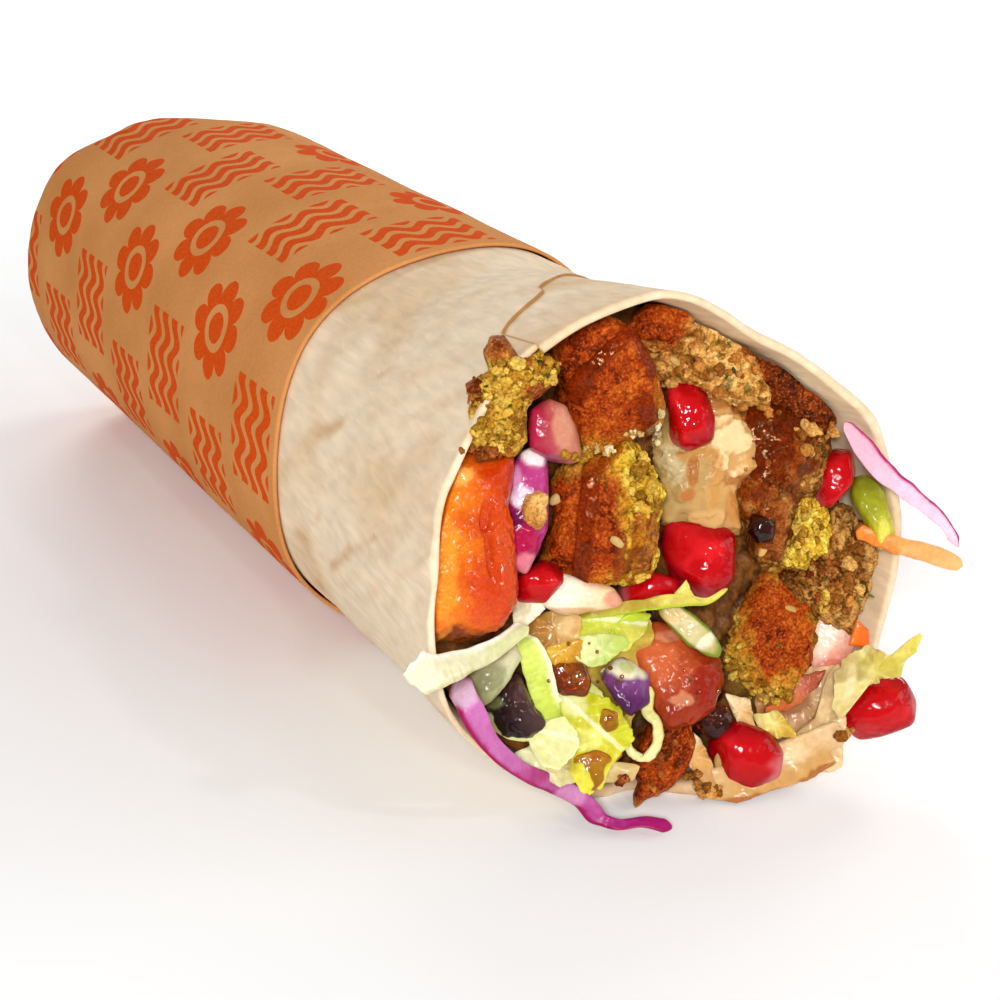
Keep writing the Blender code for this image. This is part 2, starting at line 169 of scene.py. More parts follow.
def grains(points: Array, size: float, seed: int) -> tuple[Array, Array]:
    """Rounded grains packed at random: each cell holds one middle, and the nearest one's half-circle rises there.

    Args:
        points: points in millimetres.
        size: a grain's size in millimetres.
        seed: which pattern.

    Returns:
        The height, 1 on a grain's middle and 0 in the creases, and a number from -1 to 1 for the grain.
    """
    scaled = points / size
    base = np.floor(scaled).astype(np.int64)
    nearest = np.full(points.shape[:-1], np.inf)
    number = np.zeros(points.shape[:-1])
    for offset in itertools.product((-1, 0, 1), repeat=3):
        cell = base + np.array(offset)
        jitter = np.stack([lattice(cell, seed + axis) for axis in range(3)], axis=-1)
        away = np.linalg.norm(scaled - cell - 0.5 - 0.45 * jitter, axis=-1)
        closer = away < nearest
        nearest = np.where(closer, away, nearest)
        number = np.where(closer, jitter[..., 0], number)
    return np.sqrt(np.clip(1.0 - (nearest / 0.88) ** 2, 0.0, 1.0)), number


def through(pairs: tuple[tuple[float, float], ...], at: Array, period: float = 0.0) -> Array:
    """A curve that eases from each (place, value) pair to the next, and round again after a period."""
    places = np.array([pair[0] for pair in pairs], float)
    values = np.array([pair[1] for pair in pairs], float)
    if period:
        at = (at - places[0]) % period + places[0]
        places = np.append(places, places[0] + period)
        values = np.append(values, values[0])
    at = np.clip(at, places[0], places[-1])
    step = np.clip(np.searchsorted(places, at, "right") - 1, 0, len(places) - 2)
    part = (at - places[step]) / (places[step + 1] - places[step])
    return values[step] + (values[step + 1] - values[step]) * smooth_step(part)


def curve_through(points: tuple[tuple[float, float, float], ...], count: int) -> Array:
    """Points on a Catmull-Rom curve: each stretch is the cubic that leaves a point along its neighbours' chord."""
    given = np.array(points, float)
    padded = np.concatenate([[2 * given[0] - given[1]], given, [2 * given[-1] - given[-2]]])
    at = np.linspace(0.0, len(given) - 1.0, count)
    step = np.minimum(at.astype(int), len(given) - 2)
    t = (at - step)[:, None]
    a, b, c, d = (padded[step + k] for k in range(4))
    return 0.5 * (2 * b + (c - a) * t + (2 * a - 5 * b + 4 * c - d) * t**2 + (3 * b - a - 3 * c + d) * t**3)


# ---------------------------------------------------------------- meshes


@dataclass
class Skin:
    """A closed surface: its points, its faces facing out, and numbers or colours that go with each point."""

    points: Array
    quads: Array
    triangles: Array = field(default_factory=lambda: np.zeros((0, 3), int))
    marks: dict[str, Array] = field(default_factory=dict)

    def mark(self, **values: Array | float) -> Skin:
        """Keep a value, or a colour, for each point under each name, and return the skin itself."""
        for name, value in values.items():
            value = np.asarray(value, float)
            wide = value.ndim > 0 and value.shape[-1] == 3
            self.marks[name] = np.broadcast_to(value, (len(self.points), 3) if wide else (len(self.points),))
        return self


@dataclass
class FrontMap:
    """How deep the nearest surface lies at each place of the mouth, on a grid of small cells."""

    cell: float = 0.6
    half: int = 100
    depth: Array = field(default_factory=lambda: np.full((200, 200), 60.0))

    def cells(self, right: Array, up: Array) -> tuple[Array, Array]:
        """The grid's row and column for each place."""
        row = np.clip(np.floor(right / self.cell).astype(int) + self.half, 0, 2 * self.half - 1)
        column = np.clip(np.floor(up / self.cell).astype(int) + self.half, 0, 2 * self.half - 1)
        return row, column

    def take(self, points: Array) -> None:
        """Bring the map forward to these points."""
        place = in_mouth(points)
        np.minimum.at(self.depth, self.cells(place[:, 0], place[:, 1]), place[:, 2])

    def at(self, right: Array, up: Array) -> Array:
        """The depth at each place."""
        return self.depth[self.cells(right, up)]


FRONT = FrontMap()


def write_piece(name: str, skin: Skin, material: bpy.types.Material, stands_for: tuple = ()) -> None:
    """Put a skin into the scene as a piece of the wrap.

    Args:
        name: the piece's name.
        skin: its surface, in millimetres in the roll's frame.
        material: its finish.
        stands_for: the frame's nodes that it replaces.
    """
    mesh = bpy.data.meshes.new(name)
    mesh.vertices.add(len(skin.points))
    mesh.vertices.foreach_set("co", ((skin.points + ROLL_IN_ROW) * MM).astype(np.float32).ravel())
    corners = np.concatenate([skin.quads.ravel(), skin.triangles.ravel()])
    mesh.loops.add(len(corners))
    mesh.loops.foreach_set("vertex_index", corners.astype(np.int32))
    sizes = np.concatenate([np.full(len(skin.quads), 4), np.full(len(skin.triangles), 3)])
    mesh.polygons.add(len(sizes))
    mesh.polygons.foreach_set("loop_start", np.concatenate([[0], np.cumsum(sizes)[:-1]]).astype(np.int32))
    mesh.update(calc_edges=True)
    mesh.shade_smooth()
    for mark, value in skin.marks.items():
        if value.ndim == 2:
            layer = mesh.attributes.new(mark, "FLOAT_COLOR", "POINT")
            colours = np.concatenate([value, np.ones((len(value), 1))], axis=1)
            layer.data.foreach_set("color", colours.astype(np.float32).ravel())
        else:
            layer = mesh.attributes.new(mark, "FLOAT", "POINT")
            layer.data.foreach_set("value", value.astype(np.float32))
    mesh.materials.append(material)
    piece = bpy.data.objects.new(name, mesh)
    bpy.context.scene.collection.objects.link(piece)
    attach(piece, BODY)
    if stands_for:
        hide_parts(*stands_for)
    FRONT.take(skin.points)
    LOG.info("%s: %d faces", name, len(sizes))


def tube(rows: Array, first: Array, last: Array) -> Skin:
    """A closed skin over rows of points: each row is a closed ring, and a point closes each end.

    Args:
        rows: points on an (n, m) grid, each row running round the surface.
        first: the point before the first row.
        last: the point after the last row.

    Returns:
        The skin, its faces turned so that the volume inside is positive.
    """
    count, around = rows.shape[:2]
    points = np.concatenate([rows.reshape(-1, 3), [first], [last]])
    row = np.arange(count - 1)[:, None] * around
    here = np.arange(around)[None, :]
    after = (here + 1) % around
    quads = np.stack([row + here, row + after, row + around + after, row + around + here], axis=-1).reshape(-1, 4)
    ring = np.arange(around)
    turned = (ring + 1) % around
    start = np.stack([turned, ring, np.full(around, count * around)], axis=-1)
    low = (count - 1) * around
    end = np.stack([low + ring, low + turned, np.full(around, count * around + 1)], axis=-1)
    triangles = np.concatenate([start, end])
    corner = points[quads[:, :3]]
    volume = np.einsum("ij,ij->i", corner[:, 0], np.cross(corner[:, 1], corner[:, 2])).sum()
    corner = points[quads[:, (0, 2, 3)]]
    volume += np.einsum("ij,ij->i", corner[:, 0], np.cross(corner[:, 1], corner[:, 2])).sum()
    if volume < 0.0:
        quads, triangles = quads[:, ::-1], triangles[:, ::-1]
    return Skin(points, quads, triangles)


def cube_sphere(cells: int) -> tuple[Array, Array]:
    """A cube's six faces as grids of equal angle, blown up to a unit sphere and sewn along their edges.

    Args:
        cells: squares along one edge of the cube.

    Returns:
        Unit vectors and quads that face out.
    """
    flat = np.tan(np.linspace(-1.0, 1.0, cells + 1) * math.pi / 4.0)
    u, v = np.meshgrid(flat, flat, indexing="ij")
    w = np.ones_like(u)
    faces = ((w, u, v), (-w, v, u), (v, w, u), (u, -w, v), (u, v, w), (v, u, -w))
    points = np.concatenate([np.stack(face, axis=-1).reshape(-1, 3) for face in faces])
    points /= np.linalg.norm(points, axis=1, keepdims=True)
    i, j = np.meshgrid(np.arange(cells), np.arange(cells), indexing="ij")
    start = (i * (cells + 1) + j).ravel()
    quad = np.stack([start, start + cells + 1, start + cells + 2, start + 1], axis=-1)
    quads = np.concatenate([quad + k * (cells + 1) ** 2 for k in range(6)])
    _, kept, index = np.unique(np.round(points * 1e5).astype(int), axis=0, return_index=True, return_inverse=True)
    return points[kept], index.reshape(-1)[quads]


def relaxed(value: Array, quads: Array, rounds: int) -> Array:
    """Each point's value moved to the mean of itself and its neighbours along the quads' edges, several times."""
    a = quads.ravel()
    b = np.roll(quads, -1, axis=1).ravel()
    count = np.bincount(a, minlength=len(value)) + np.bincount(b, minlength=len(value))
    for _ in range(rounds):
        total = np.bincount(a, value[b], len(value)) + np.bincount(b, value[a], len(value))
        value = 0.5 * value + 0.5 * total / count
    return value


def mouth_spot(right: Array | float, up: Array | float, depth: Array | float) -> Array:
    """The point this far right, up and deep of the mouth's middle."""
    return MOUTH_MIDDLE + stacked(right, up, depth) @ np.stack([RIGHT, UP, DEPTH])


def in_mouth(points: Array) -> Array:
    """How far right, up and deep of the mouth's middle each point is."""
    return (points - MOUTH_MIDDLE) @ np.stack([RIGHT, UP, DEPTH], axis=1)


def edge_reach(edge: Array, turn: Array) -> Array:
    """How far a polygon's edge is from zero along each angle: the furthest crossing of the ray with a side.

    Args:
        edge: the polygon's corners.
        turn: angles.

    Returns:
        One distance for each angle.
    """
    way = np.stack([np.cos(turn), np.sin(turn)], axis=-1)[:, None]
    start = edge[None]
    side = np.roll(edge, -1, axis=0)[None] - start
    cross = way[..., 0] * side[..., 1] - way[..., 1] * side[..., 0]
    cross = np.where(np.abs(cross) < 1e-9, 1e-9, cross)
    reach = (start[..., 0] * side[..., 1] - start[..., 1] * side[..., 0]) / cross
    share = (start[..., 0] * way[..., 1] - start[..., 1] * way[..., 0]) / cross
    return np.where((share >= -1e-6) & (share <= 1.0 + 1e-6), reach, 0.0).max(axis=1)


@dataclass(frozen=True)
class Outline:
    """A piece's edge as the mouth shows it, right and up from the mouth's middle, at a depth.

    The piece is `thick` to each side of that depth, as square as the power says, and its face leans by so many
    millimetres of depth for each millimetre right and up.
    """

    depth: float
    edge: tuple[tuple[float, float], ...]
    thick: float
    square: float = 2.6
    lean: tuple[float, float] = (0.0, 0.0)

    @property
    def middle(self) -> Array:
        """The middle of the edge's box."""
        corners = np.array(self.edge)
        return (corners.min(axis=0) + corners.max(axis=0)) / 2.0


@dataclass
class Lump:
    """A rounded piece seen from its middle: unit vectors, and how far its surface is along each."""

    outline: Outline
    ways: Array
    quads: Array
    reach: Array

    @classmethod
    def of(cls, outline: Outline, cells: int, grow: float = 1.0, rounds: int = 8) -> Lump:
        """A pillow with this outline: flat shares and depth shares, each to a power, add up to one.

        Args:
            outline: the edge and the thickness.
            cells: squares along one edge of the grid's cube.
            grow: how much larger it is made.
            rounds: how many times its corners are eased.

        Returns:
            The lump.
        """
        ways, quads = cube_sphere(cells)
        flat = np.hypot(ways[:, 0], ways[:, 2])
        out = edge_reach(np.array(outline.edge) - outline.middle, np.arctan2(ways[:, 2], ways[:, 0]))
        shares = (flat / out) ** outline.square + (np.abs(ways[:, 1]) / outline.thick) ** outline.square
        reach = relaxed(shares ** (-1.0 / outline.square), quads, rounds)
        return cls(outline, ways, quads, reach * grow)

    @property
    def points(self) -> Array:
        """The surface's points."""
        own = self.ways * self.reach[:, None]
        middle, lean = self.outline.middle, self.outline.lean
        depth = self.outline.depth + own[:, 1] + own[:, 0] * lean[0] + own[:, 2] * lean[1]
        return mouth_spot(own[:, 0] + middle[0], own[:, 2] + middle[1], depth)

    @property
    def rim(self) -> Array:
        """0 where a point lies in the middle of the outline and 1 on its edge."""
        own = self.ways * self.reach[:, None]
        out = edge_reach(np.array(self.outline.edge) - self.outline.middle, np.arctan2(own[:, 2], own[:, 0]))
        return np.hypot(own[:, 0], own[:, 2]) / np.maximum(out, 0.1)

    def skin(self, hangs: bool = False) -> Skin:
        """The surface as a closed skin, kept inside the sheet unless it hangs over the rim."""
        return Skin(self.points if hangs else ROLL.kept_in(self.points), self.quads)


def ribbon(route: Array, half_width: Array, half_thick: Array, wide: Array, lift: Array | None = None) -> Skin:
    """A flat strip carried along a route: its cross-section is a flattened superellipse, closed at both ends.

    A point at angle a of the section lies at the route plus across times width times cos a, plus the strip's
    normal times thickness times sin a, plus the normal times the lift, which ruffles the strip.

    Args:
        route: points along the strip's middle.
        half_width: half the width at each point.
        half_thick: half the thickness at each point.
        wide: the direction of the width at each point, or one direction.
        lift: how far the section is lifted, for each point and each of 24 places round it.

    Returns:
        The skin, with marks `along` from 0 to 1 and `across` from -1 to 1.
    """
    around = 24
    count = len(route)
    turn = np.arange(around) / around * 2.0 * math.pi
    forward = np.gradient(route, axis=0)
    forward /= np.linalg.norm(forward, axis=1, keepdims=True)
    wide = np.broadcast_to(np.asarray(wide, float), route.shape)
    across = wide - forward * (forward * wide).sum(axis=1, keepdims=True)
    across /= np.linalg.norm(across, axis=1, keepdims=True)
    normal = np.cross(forward, across)
    over = np.sign(np.cos(turn)) * np.abs(np.cos(turn)) ** 0.8
    high = np.sign(np.sin(turn)) * np.abs(np.sin(turn)) ** 0.8
    rows = route[:, None] + across[:, None] * (half_width[:, None] * over)[..., None]
    rows = rows + normal[:, None] * (half_thick[:, None] * high)[..., None]
    if lift is not None:
        rows = rows + normal[:, None] * lift[..., None]
    skin = tube(rows, rows[0].mean(axis=0), rows[-1].mean(axis=0))
    along = np.repeat(np.linspace(0.0, 1.0, count), around)
    return skin.mark(
        along=np.concatenate([along, [0.0, 1.0]]),
        across=np.concatenate([np.tile(over, count), [0.0, 0.0]]),
    )


# ---------------------------------------------------------------- finishes


def add(tree: bpy.types.NodeTree, kind: str, inputs: dict | None = None, **settings: object) -> bpy.types.Node:
    """Add a node, set it up and link it.

    Args:
        tree: the material's node tree.
        kind: the node's type.
        inputs: for each input, by name or number, a value or the socket that feeds it.
        settings: the node's own properties.

    Returns:
        The node.
    """
    made = tree.nodes.new(kind)
    for name, value in settings.items():
        setattr(made, name, value)
    for name, value in (inputs or {}).items():
        if isinstance(value, bpy.types.NodeSocket):
            tree.links.new(value, made.inputs[name])
        else:
            made.inputs[name].default_value = value
    return made


def start_material(name: str) -> tuple[bpy.types.Material, bpy.types.NodeTree, bpy.types.Node]:
    """A new material with one Principled shader on its output: the material, its tree and the shader."""
    material = bpy.data.materials.new(name)
    material.use_nodes = True
    tree = material.node_tree
    return material, tree, tree.nodes["Principled BSDF"]


def rgba(colour: Array) -> tuple[float, float, float, float]:
    """A linear colour with full cover."""
    return (*[float(part) for part in colour], 1.0)


@dataclass(frozen=True)
class FoodFinish:
    """Cooked or raw food: its colour and wetness come with the surface, and grain gives it tooth.

    Dry crumb scatters light and has no shine. Where sauce, oil or juice lies on it, it is smooth and mirrors
    the lamps in small sharp spots.
    """

    name: str
    grain_mm: float = 0.5
    grain_height_mm: float = 0.12
    mottle: float = 0.25
    dry_roughness: float = 0.75
    wet_roughness: float = 0.14
    coat: float = 0.0
    inside_glow: float = 0.0
    glow_depth_mm: float = 1.2
    clear: float = 0.0
    ior: float = 1.42
    ripple_mm: float = 1.3
    ripple_height_mm: float = 0.22
    fleck: str = "#C87430"
    flecked: float = 0.0
    gleam: str = "#FFFFFF"

    def make(self) -> bpy.types.Material:
        """The material."""
        material, tree, shader = start_material(self.name)
        place = add(tree, "ShaderNodeTexCoord").outputs["Object"]
        tint = add(tree, "ShaderNodeAttribute", attribute_name="tint").outputs["Color"]
        wet = add(tree, "ShaderNodeAttribute", attribute_name="wet").outputs["Fac"]
        scale = 1.0 / (self.grain_mm * MM)
        fine = add(tree, "ShaderNodeTexNoise", {"Vector": place, "Scale": scale, "Detail": 4.0}).outputs["Fac"]
        speck = add(tree, "ShaderNodeTexNoise", {"Vector": place, "Scale": scale * 1.3, "Detail": 3.0})
        bright = add(
            tree,
            "ShaderNodeMapRange",
            {"Value": speck.outputs["Fac"], 1: 0.3, 2: 0.7, 3: 1.0 - self.mottle, 4: 1.0 + self.mottle},
        ).outputs[0]
        colour = add(tree, "ShaderNodeVectorMath", {0: tint, "Scale": bright}, operation="SCALE").outputs[0]
        share = add(tree, "ShaderNodeMapRange", {"Value": wet, 1: 0.4, 2: 0.7, 3: self.flecked, 4: 0.0}).outputs[0]
        fleck = add(tree, "ShaderNodeMapRange", {"Value": speck.outputs["Fac"], 1: 0.56, 2: 0.68, 4: share})
        colour = add(
            tree,
            "ShaderNodeMix",
            {"Factor": fleck.outputs[0], "A": colour, "B": rgba(linear(self.fleck))},
            data_type="RGBA",
        ).outputs["Result"]
        tree.links.new(colour, shader.inputs["Base Color"])
        rough = add(
            tree, "ShaderNodeMapRange", {"Value": wet, 3: self.dry_roughness, 4: self.wet_roughness}
        ).outputs[0]
        tree.links.new(rough, shader.inputs["Roughness"])
        shine = add(tree, "ShaderNodeMapRange", {"Value": wet, 3: 0.03, 4: 0.3}).outputs[0]
        tree.links.new(shine, shader.inputs["Specular IOR Level"])
        dry = add(tree, "ShaderNodeMapRange", {"Value": wet, 3: 1.0, 4: 0.15}).outputs[0]
        bump = add(
            tree, "ShaderNodeBump", {"Strength": dry, "Distance": self.grain_height_mm * MM, "Height": fine}
        ).outputs[0]
        ripple = add(
            tree, "ShaderNodeTexNoise", {"Vector": place, "Scale": 1.0 / (self.ripple_mm * MM), "Detail": 1.0}
        ).outputs["Fac"]
        rippled = add(
            tree,
            "ShaderNodeBump",
            {"Strength": wet, "Distance": self.ripple_height_mm * MM, "Height": ripple, "Normal": bump},
        ).outputs[0]
        tree.links.new(rippled, shader.inputs["Normal"])
        shader.inputs["IOR"].default_value = self.ior
        shader.inputs["Specular Tint"].default_value = rgba(linear(self.gleam))
        shader.inputs["Coat Weight"].default_value = self.coat
        shader.inputs["Coat Roughness"].default_value = 0.08
        shader.inputs["Subsurface Weight"].default_value = self.inside_glow
        shader.inputs["Subsurface Scale"].default_value = self.glow_depth_mm * MM
        shader.inputs["Subsurface Radius"].default_value = (1.0, 0.6, 0.3)
        shader.inputs["Transmission Weight"].default_value = self.clear
        return material


@dataclass(frozen=True)
class KraftPaper:
    """Brown kraft sandwich paper, machine glazed on one side: matte, with short fibres, printed in one ink.

    The ink sinks in, so that the fibres show through it.
    """

    name: str = "kraft_paper_printed"
    bare: str = "#D49256"
    dark: str = "#B8763C"
    ink: str = "#D04600"
    fibre_mm: float = 0.5
    cell_mm: tuple[float, float] = (25.5, 20.0)

    def motif(self, tree: bpy.types.NodeTree) -> bpy.types.NodeSocket:
        """The print: rows of petalled discs and stacks of waves in turn, each row shifted by half a cell."""

        def math_of(operation: str, *values: object) -> bpy.types.NodeSocket:
            return add(tree, "ShaderNodeMath", dict(enumerate(values)), operation=operation).outputs[0]

        flat = add(tree, "ShaderNodeAttribute", attribute_name="flat").outputs["Vector"]
        parts = add(tree, "ShaderNodeSeparateXYZ", {0: flat})
        u, v = parts.outputs[0], parts.outputs[1]
        wide, high = self.cell_mm
        row = math_of("FLOOR", math_of("DIVIDE", v, high))
        shift = math_of("MULTIPLY", math_of("FLOORED_MODULO", row, 2.0), wide / 2.0)
        x = math_of("SUBTRACT", math_of("FLOORED_MODULO", math_of("ADD", u, shift), wide), wide / 2.0)
        y = math_of("SUBTRACT", math_of("FLOORED_MODULO", v, high), high / 2.0)
        column = math_of("FLOOR", math_of("DIVIDE", math_of("ADD", u, shift), wide))
        turn = math_of("ARCTAN2", y, x)
        away = math_of("SQRT", math_of("ADD", math_of("MULTIPLY", x, x), math_of("MULTIPLY", y, y)))
        petal = math_of("ABSOLUTE", math_of("COSINE", math_of("MULTIPLY", turn, 4.0)))
        edge = math_of("ADD", 5.6, math_of("MULTIPLY", math_of("POWER", petal, 0.5), 3.4))
        inside = math_of("LESS_THAN", away, edge)
        ring = math_of("GREATER_THAN", math_of("ABSOLUTE", math_of("SUBTRACT", away, 3.5)), 0.75)
        flower = math_of("MULTIPLY", inside, ring)
        swing = math_of("MULTIPLY", math_of("SINE", math_of("MULTIPLY", x, 0.9)), 1.3)
        band = math_of("FLOORED_MODULO", math_of("ADD", math_of("ADD", y, swing), 50.0), 4.4)
        wave = math_of("LESS_THAN", band, 2.7)
        held = math_of("MULTIPLY", math_of("LESS_THAN", math_of("ABSOLUTE", x), 9.3), wave)
        waves = math_of("MULTIPLY", held, math_of("LESS_THAN", math_of("ABSOLUTE", y), 7.6))
        odd = math_of("FLOORED_MODULO", math_of("ADD", column, math_of("MULTIPLY", row, 1.0)), 2.0)
        return math_of(
            "ADD", math_of("MULTIPLY", flower, odd), math_of("MULTIPLY", waves, math_of("SUBTRACT", 1.0, odd))
        )

    def make(self) -> bpy.types.Material:
        """The material."""
        material, tree, shader = start_material(self.name)
        place = add(tree, "ShaderNodeTexCoord").outputs["Object"]
        scale = 1.0 / (self.fibre_mm * MM)
        fibre = add(
            tree, "ShaderNodeTexNoise", {"Vector": place, "Scale": scale, "Detail": 5.0, "Distortion": 0.6}
        ).outputs["Fac"]
        cloud = add(tree, "ShaderNodeTexNoise", {"Vector": place, "Scale": 1.0 / 0.018, "Detail": 3.0}).outputs["Fac"]
        share = add(tree, "ShaderNodeMapRange", {"Value": cloud, 1: 0.3, 2: 0.8, 4: 0.7}).outputs[0]
        bare = add(
            tree,
            "ShaderNodeMix",
            {"Factor": share, "A": rgba(linear(self.bare)), "B": rgba(linear(self.dark))},
            data_type="RGBA",
        )
        mask = self.motif(tree)
        patch = add(tree, "ShaderNodeMapRange", {"Value": fibre, 1: 0.35, 2: 0.75, 3: 1.0, 4: 0.84}).outputs[0]
        cover = add(tree, "ShaderNodeMath", {0: mask, 1: patch}, operation="MULTIPLY").outputs[0]
        inked = add(
            tree,
            "ShaderNodeMix",
            {"Factor": cover, "A": bare.outputs["Result"], "B": rgba(linear(self.ink))},
            data_type="RGBA",
        )
        light = add(tree, "ShaderNodeMapRange", {"Value": fibre, 1: 0.25, 2: 0.75, 3: 0.90, 4: 1.08}).outputs[0]
        colour = add(
            tree, "ShaderNodeVectorMath", {0: inked.outputs["Result"], "Scale": light}, operation="SCALE"
        ).outputs[0]
        tree.links.new(colour, shader.inputs["Base Color"])
        shader.inputs["Roughness"].default_value = 0.85
        shader.inputs["Specular IOR Level"].default_value = 0.05
        shader.inputs["IOR"].default_value = 1.45
        bump = add(
            tree, "ShaderNodeBump", {"Strength": 0.5, "Distance": 0.06 * MM, "Height": fibre}
        ).outputs[0]
        tree.links.new(bump, shader.inputs["Normal"])
        return material


@dataclass(frozen=True)
class TortillaFinish:
    """Soft wheat tortilla, baked on a hot plate: floury and matte, cream with faint golden toasting.

    Light goes a little way into it, and its skin has fine creases along the roll.
    """

    name: str = "wheat_tortilla_soft"
    blister_mm: float = 5.0
    fibre_mm: float = 1.4

    def make(self) -> bpy.types.Material:
        """The material."""
        material, tree, shader = start_material(self.name)
        place = add(tree, "ShaderNodeTexCoord").outputs["Object"]
        turned = add(
            tree,
            "ShaderNodeMapping",
            {"Vector": place, "Rotation": (0.5, 0.0, -0.75), "Scale": (1.0, 0.22, 1.0)},
        ).outputs[0]
        tint = add(tree, "ShaderNodeAttribute", attribute_name="tint").outputs["Color"]
        streak = add(
            tree,
            "ShaderNodeTexNoise",
            {"Vector": turned, "Scale": 1.0 / (self.fibre_mm * MM), "Detail": 5.0, "Distortion": 0.4},
        ).outputs["Fac"]
        blister = add(
            tree, "ShaderNodeTexNoise", {"Vector": place, "Scale": 1.0 / (self.blister_mm * MM), "Detail": 4.0}
        ).outputs["Fac"]
        light = add(tree, "ShaderNodeMapRange", {"Value": streak, 1: 0.3, 2: 0.7, 3: 0.88, 4: 1.06}).outputs[0]
        colour = add(tree, "ShaderNodeVectorMath", {0: tint, "Scale": light}, operation="SCALE").outputs[0]
        tree.links.new(colour, shader.inputs["Base Color"])
        wet = add(tree, "ShaderNodeAttribute", attribute_name="wet").outputs["Fac"]
        rough = add(tree, "ShaderNodeMapRange", {"Value": wet, 3: 0.72, 4: 0.2}).outputs[0]
        tree.links.new(rough, shader.inputs["Roughness"])
        both = add(tree, "ShaderNodeMath", {0: streak, 1: 0.6, 2: blister}, operation="MULTIPLY_ADD").outputs[0]
        bump = add(tree, "ShaderNodeBump", {"Strength": 0.6, "Distance": 0.35 * MM, "Height": both}).outputs[0]
        tree.links.new(bump, shader.inputs["Normal"])
        shader.inputs["IOR"].default_value = 1.42
        shader.inputs["Specular IOR Level"].default_value = 0.1
        shader.inputs["Subsurface Weight"].default_value = 0.12
        shader.inputs["Subsurface Scale"].default_value = 1.5 * MM
        shader.inputs["Subsurface Radius"].default_value = (1.0, 0.7, 0.4)
        return material


# ---------------------------------------------------------------- the roll


@dataclass(frozen=True)
class Roll:
    """The rolled wrap's own form, shared by the sleeve and the sheet. It repeats the frame's sizes."""

    paper_radius: float = 36.5
    paper: float = 0.6
    gap: float = 0.3
    taper: float = 0.014
    wall: float = 2.3
    lap: float = 0.45
    sink: float = 0.9
    mouth_y: float = 60.0
    flare: float = 5.1
    end_corner: float = 7.0
    end_hollow: float = 2.0
    mouth_shape: tuple = (
        (-100, 0.0), (-45, 3.2), (-5, 0.8), (20, -1.0), (40, -3.0), (60, -3.2), (92, 2.7), (115, 2.6), (150, 0.0), (190, 0.0),
        (225, -1.4),
    )
    rim: tuple = (
        (-150, -64.0), (-122, -61.5), (-98, -62.0), (-78, -71.0), (-55, -74.0), (-20, -70.0), (20, -67.0),
        (60, -62.0), (95, -60.0), (125, -58.5), (150, -59.5), (170, -65.0), (190, -65.5),
    )
    seam: tuple = ((-75.0, 118.0), (-50.0, 117.0), (-40.0, 100.0), (-25.0, 66.0), (-5.0, 28.0), (5.0, 20.0))
    end: tuple = (
        (40, 99.0), (80, 104.0), (112, 121.0), (140, 131.0), (170, 131.0), (220, 132.5), (280, 122.0), (340, 105.0),
    )

    def radius(self, y: Array, angle: Array | None = None) -> Array:
        """The sheet's outer radius: tapered under the paper, growing with y to the power 1.5 to an uneven mouth."""
        front = np.maximum(-y, 0.0) / self.mouth_y
        plain = self.paper_radius - self.paper - self.gap - self.taper * np.maximum(y, 0.0) + self.flare * front**1.5
        if angle is None:
            return plain
        return plain + through(self.mouth_shape, np.degrees(angle), 360.0) * smooth_step(1.6 * front)

    def covered(self, y: Array) -> Array:
        """1 where the paper lies under the sheet."""
        return between(y, -18.0, -8.0)

    def centre(self, y: Array) -> Array:
        """The height of the roll's line."""
        return self.radius(y) + (self.paper + self.gap) * self.covered(y) - self.sink

    def floor(self, y: Array) -> Array:
        """The height of what the sheet lies on."""
        return (self.paper + self.gap) * self.covered(y)

    def ring(self, radius: Array, angle: Array, y: Array, low: Array | float) -> Array:
        """Points at these radii and angles round the roll's line, pressed flat where they would go below `low`."""
        z = self.centre(y) + radius * np.sin(angle)
        return stacked(radius * np.cos(angle), y, np.maximum(z, low))


    def kept_in(self, points: Array) -> Array:
        """The points, with those behind the rim pulled in to the sheet's inner side."""
        x, y, z = points.T
        centre = self.centre(y)
        angle = np.arctan2(z - centre, x)
        most = self.radius(y, angle) - self.wall - 0.3
        far = np.hypot(x, z - centre)
        behind = y > through(self.rim, np.degrees(angle), 360.0) + 0.4
        pull = np.where(behind & (far > most), most / np.maximum(far, 1e-6), 1.0)
        z = centre + (z - centre) * pull
        low = np.where(behind, self.floor(y) + self.wall + 0.2, 0.2)
        return stacked(x * pull, y, np.maximum(z, low))


ROLL = Roll()


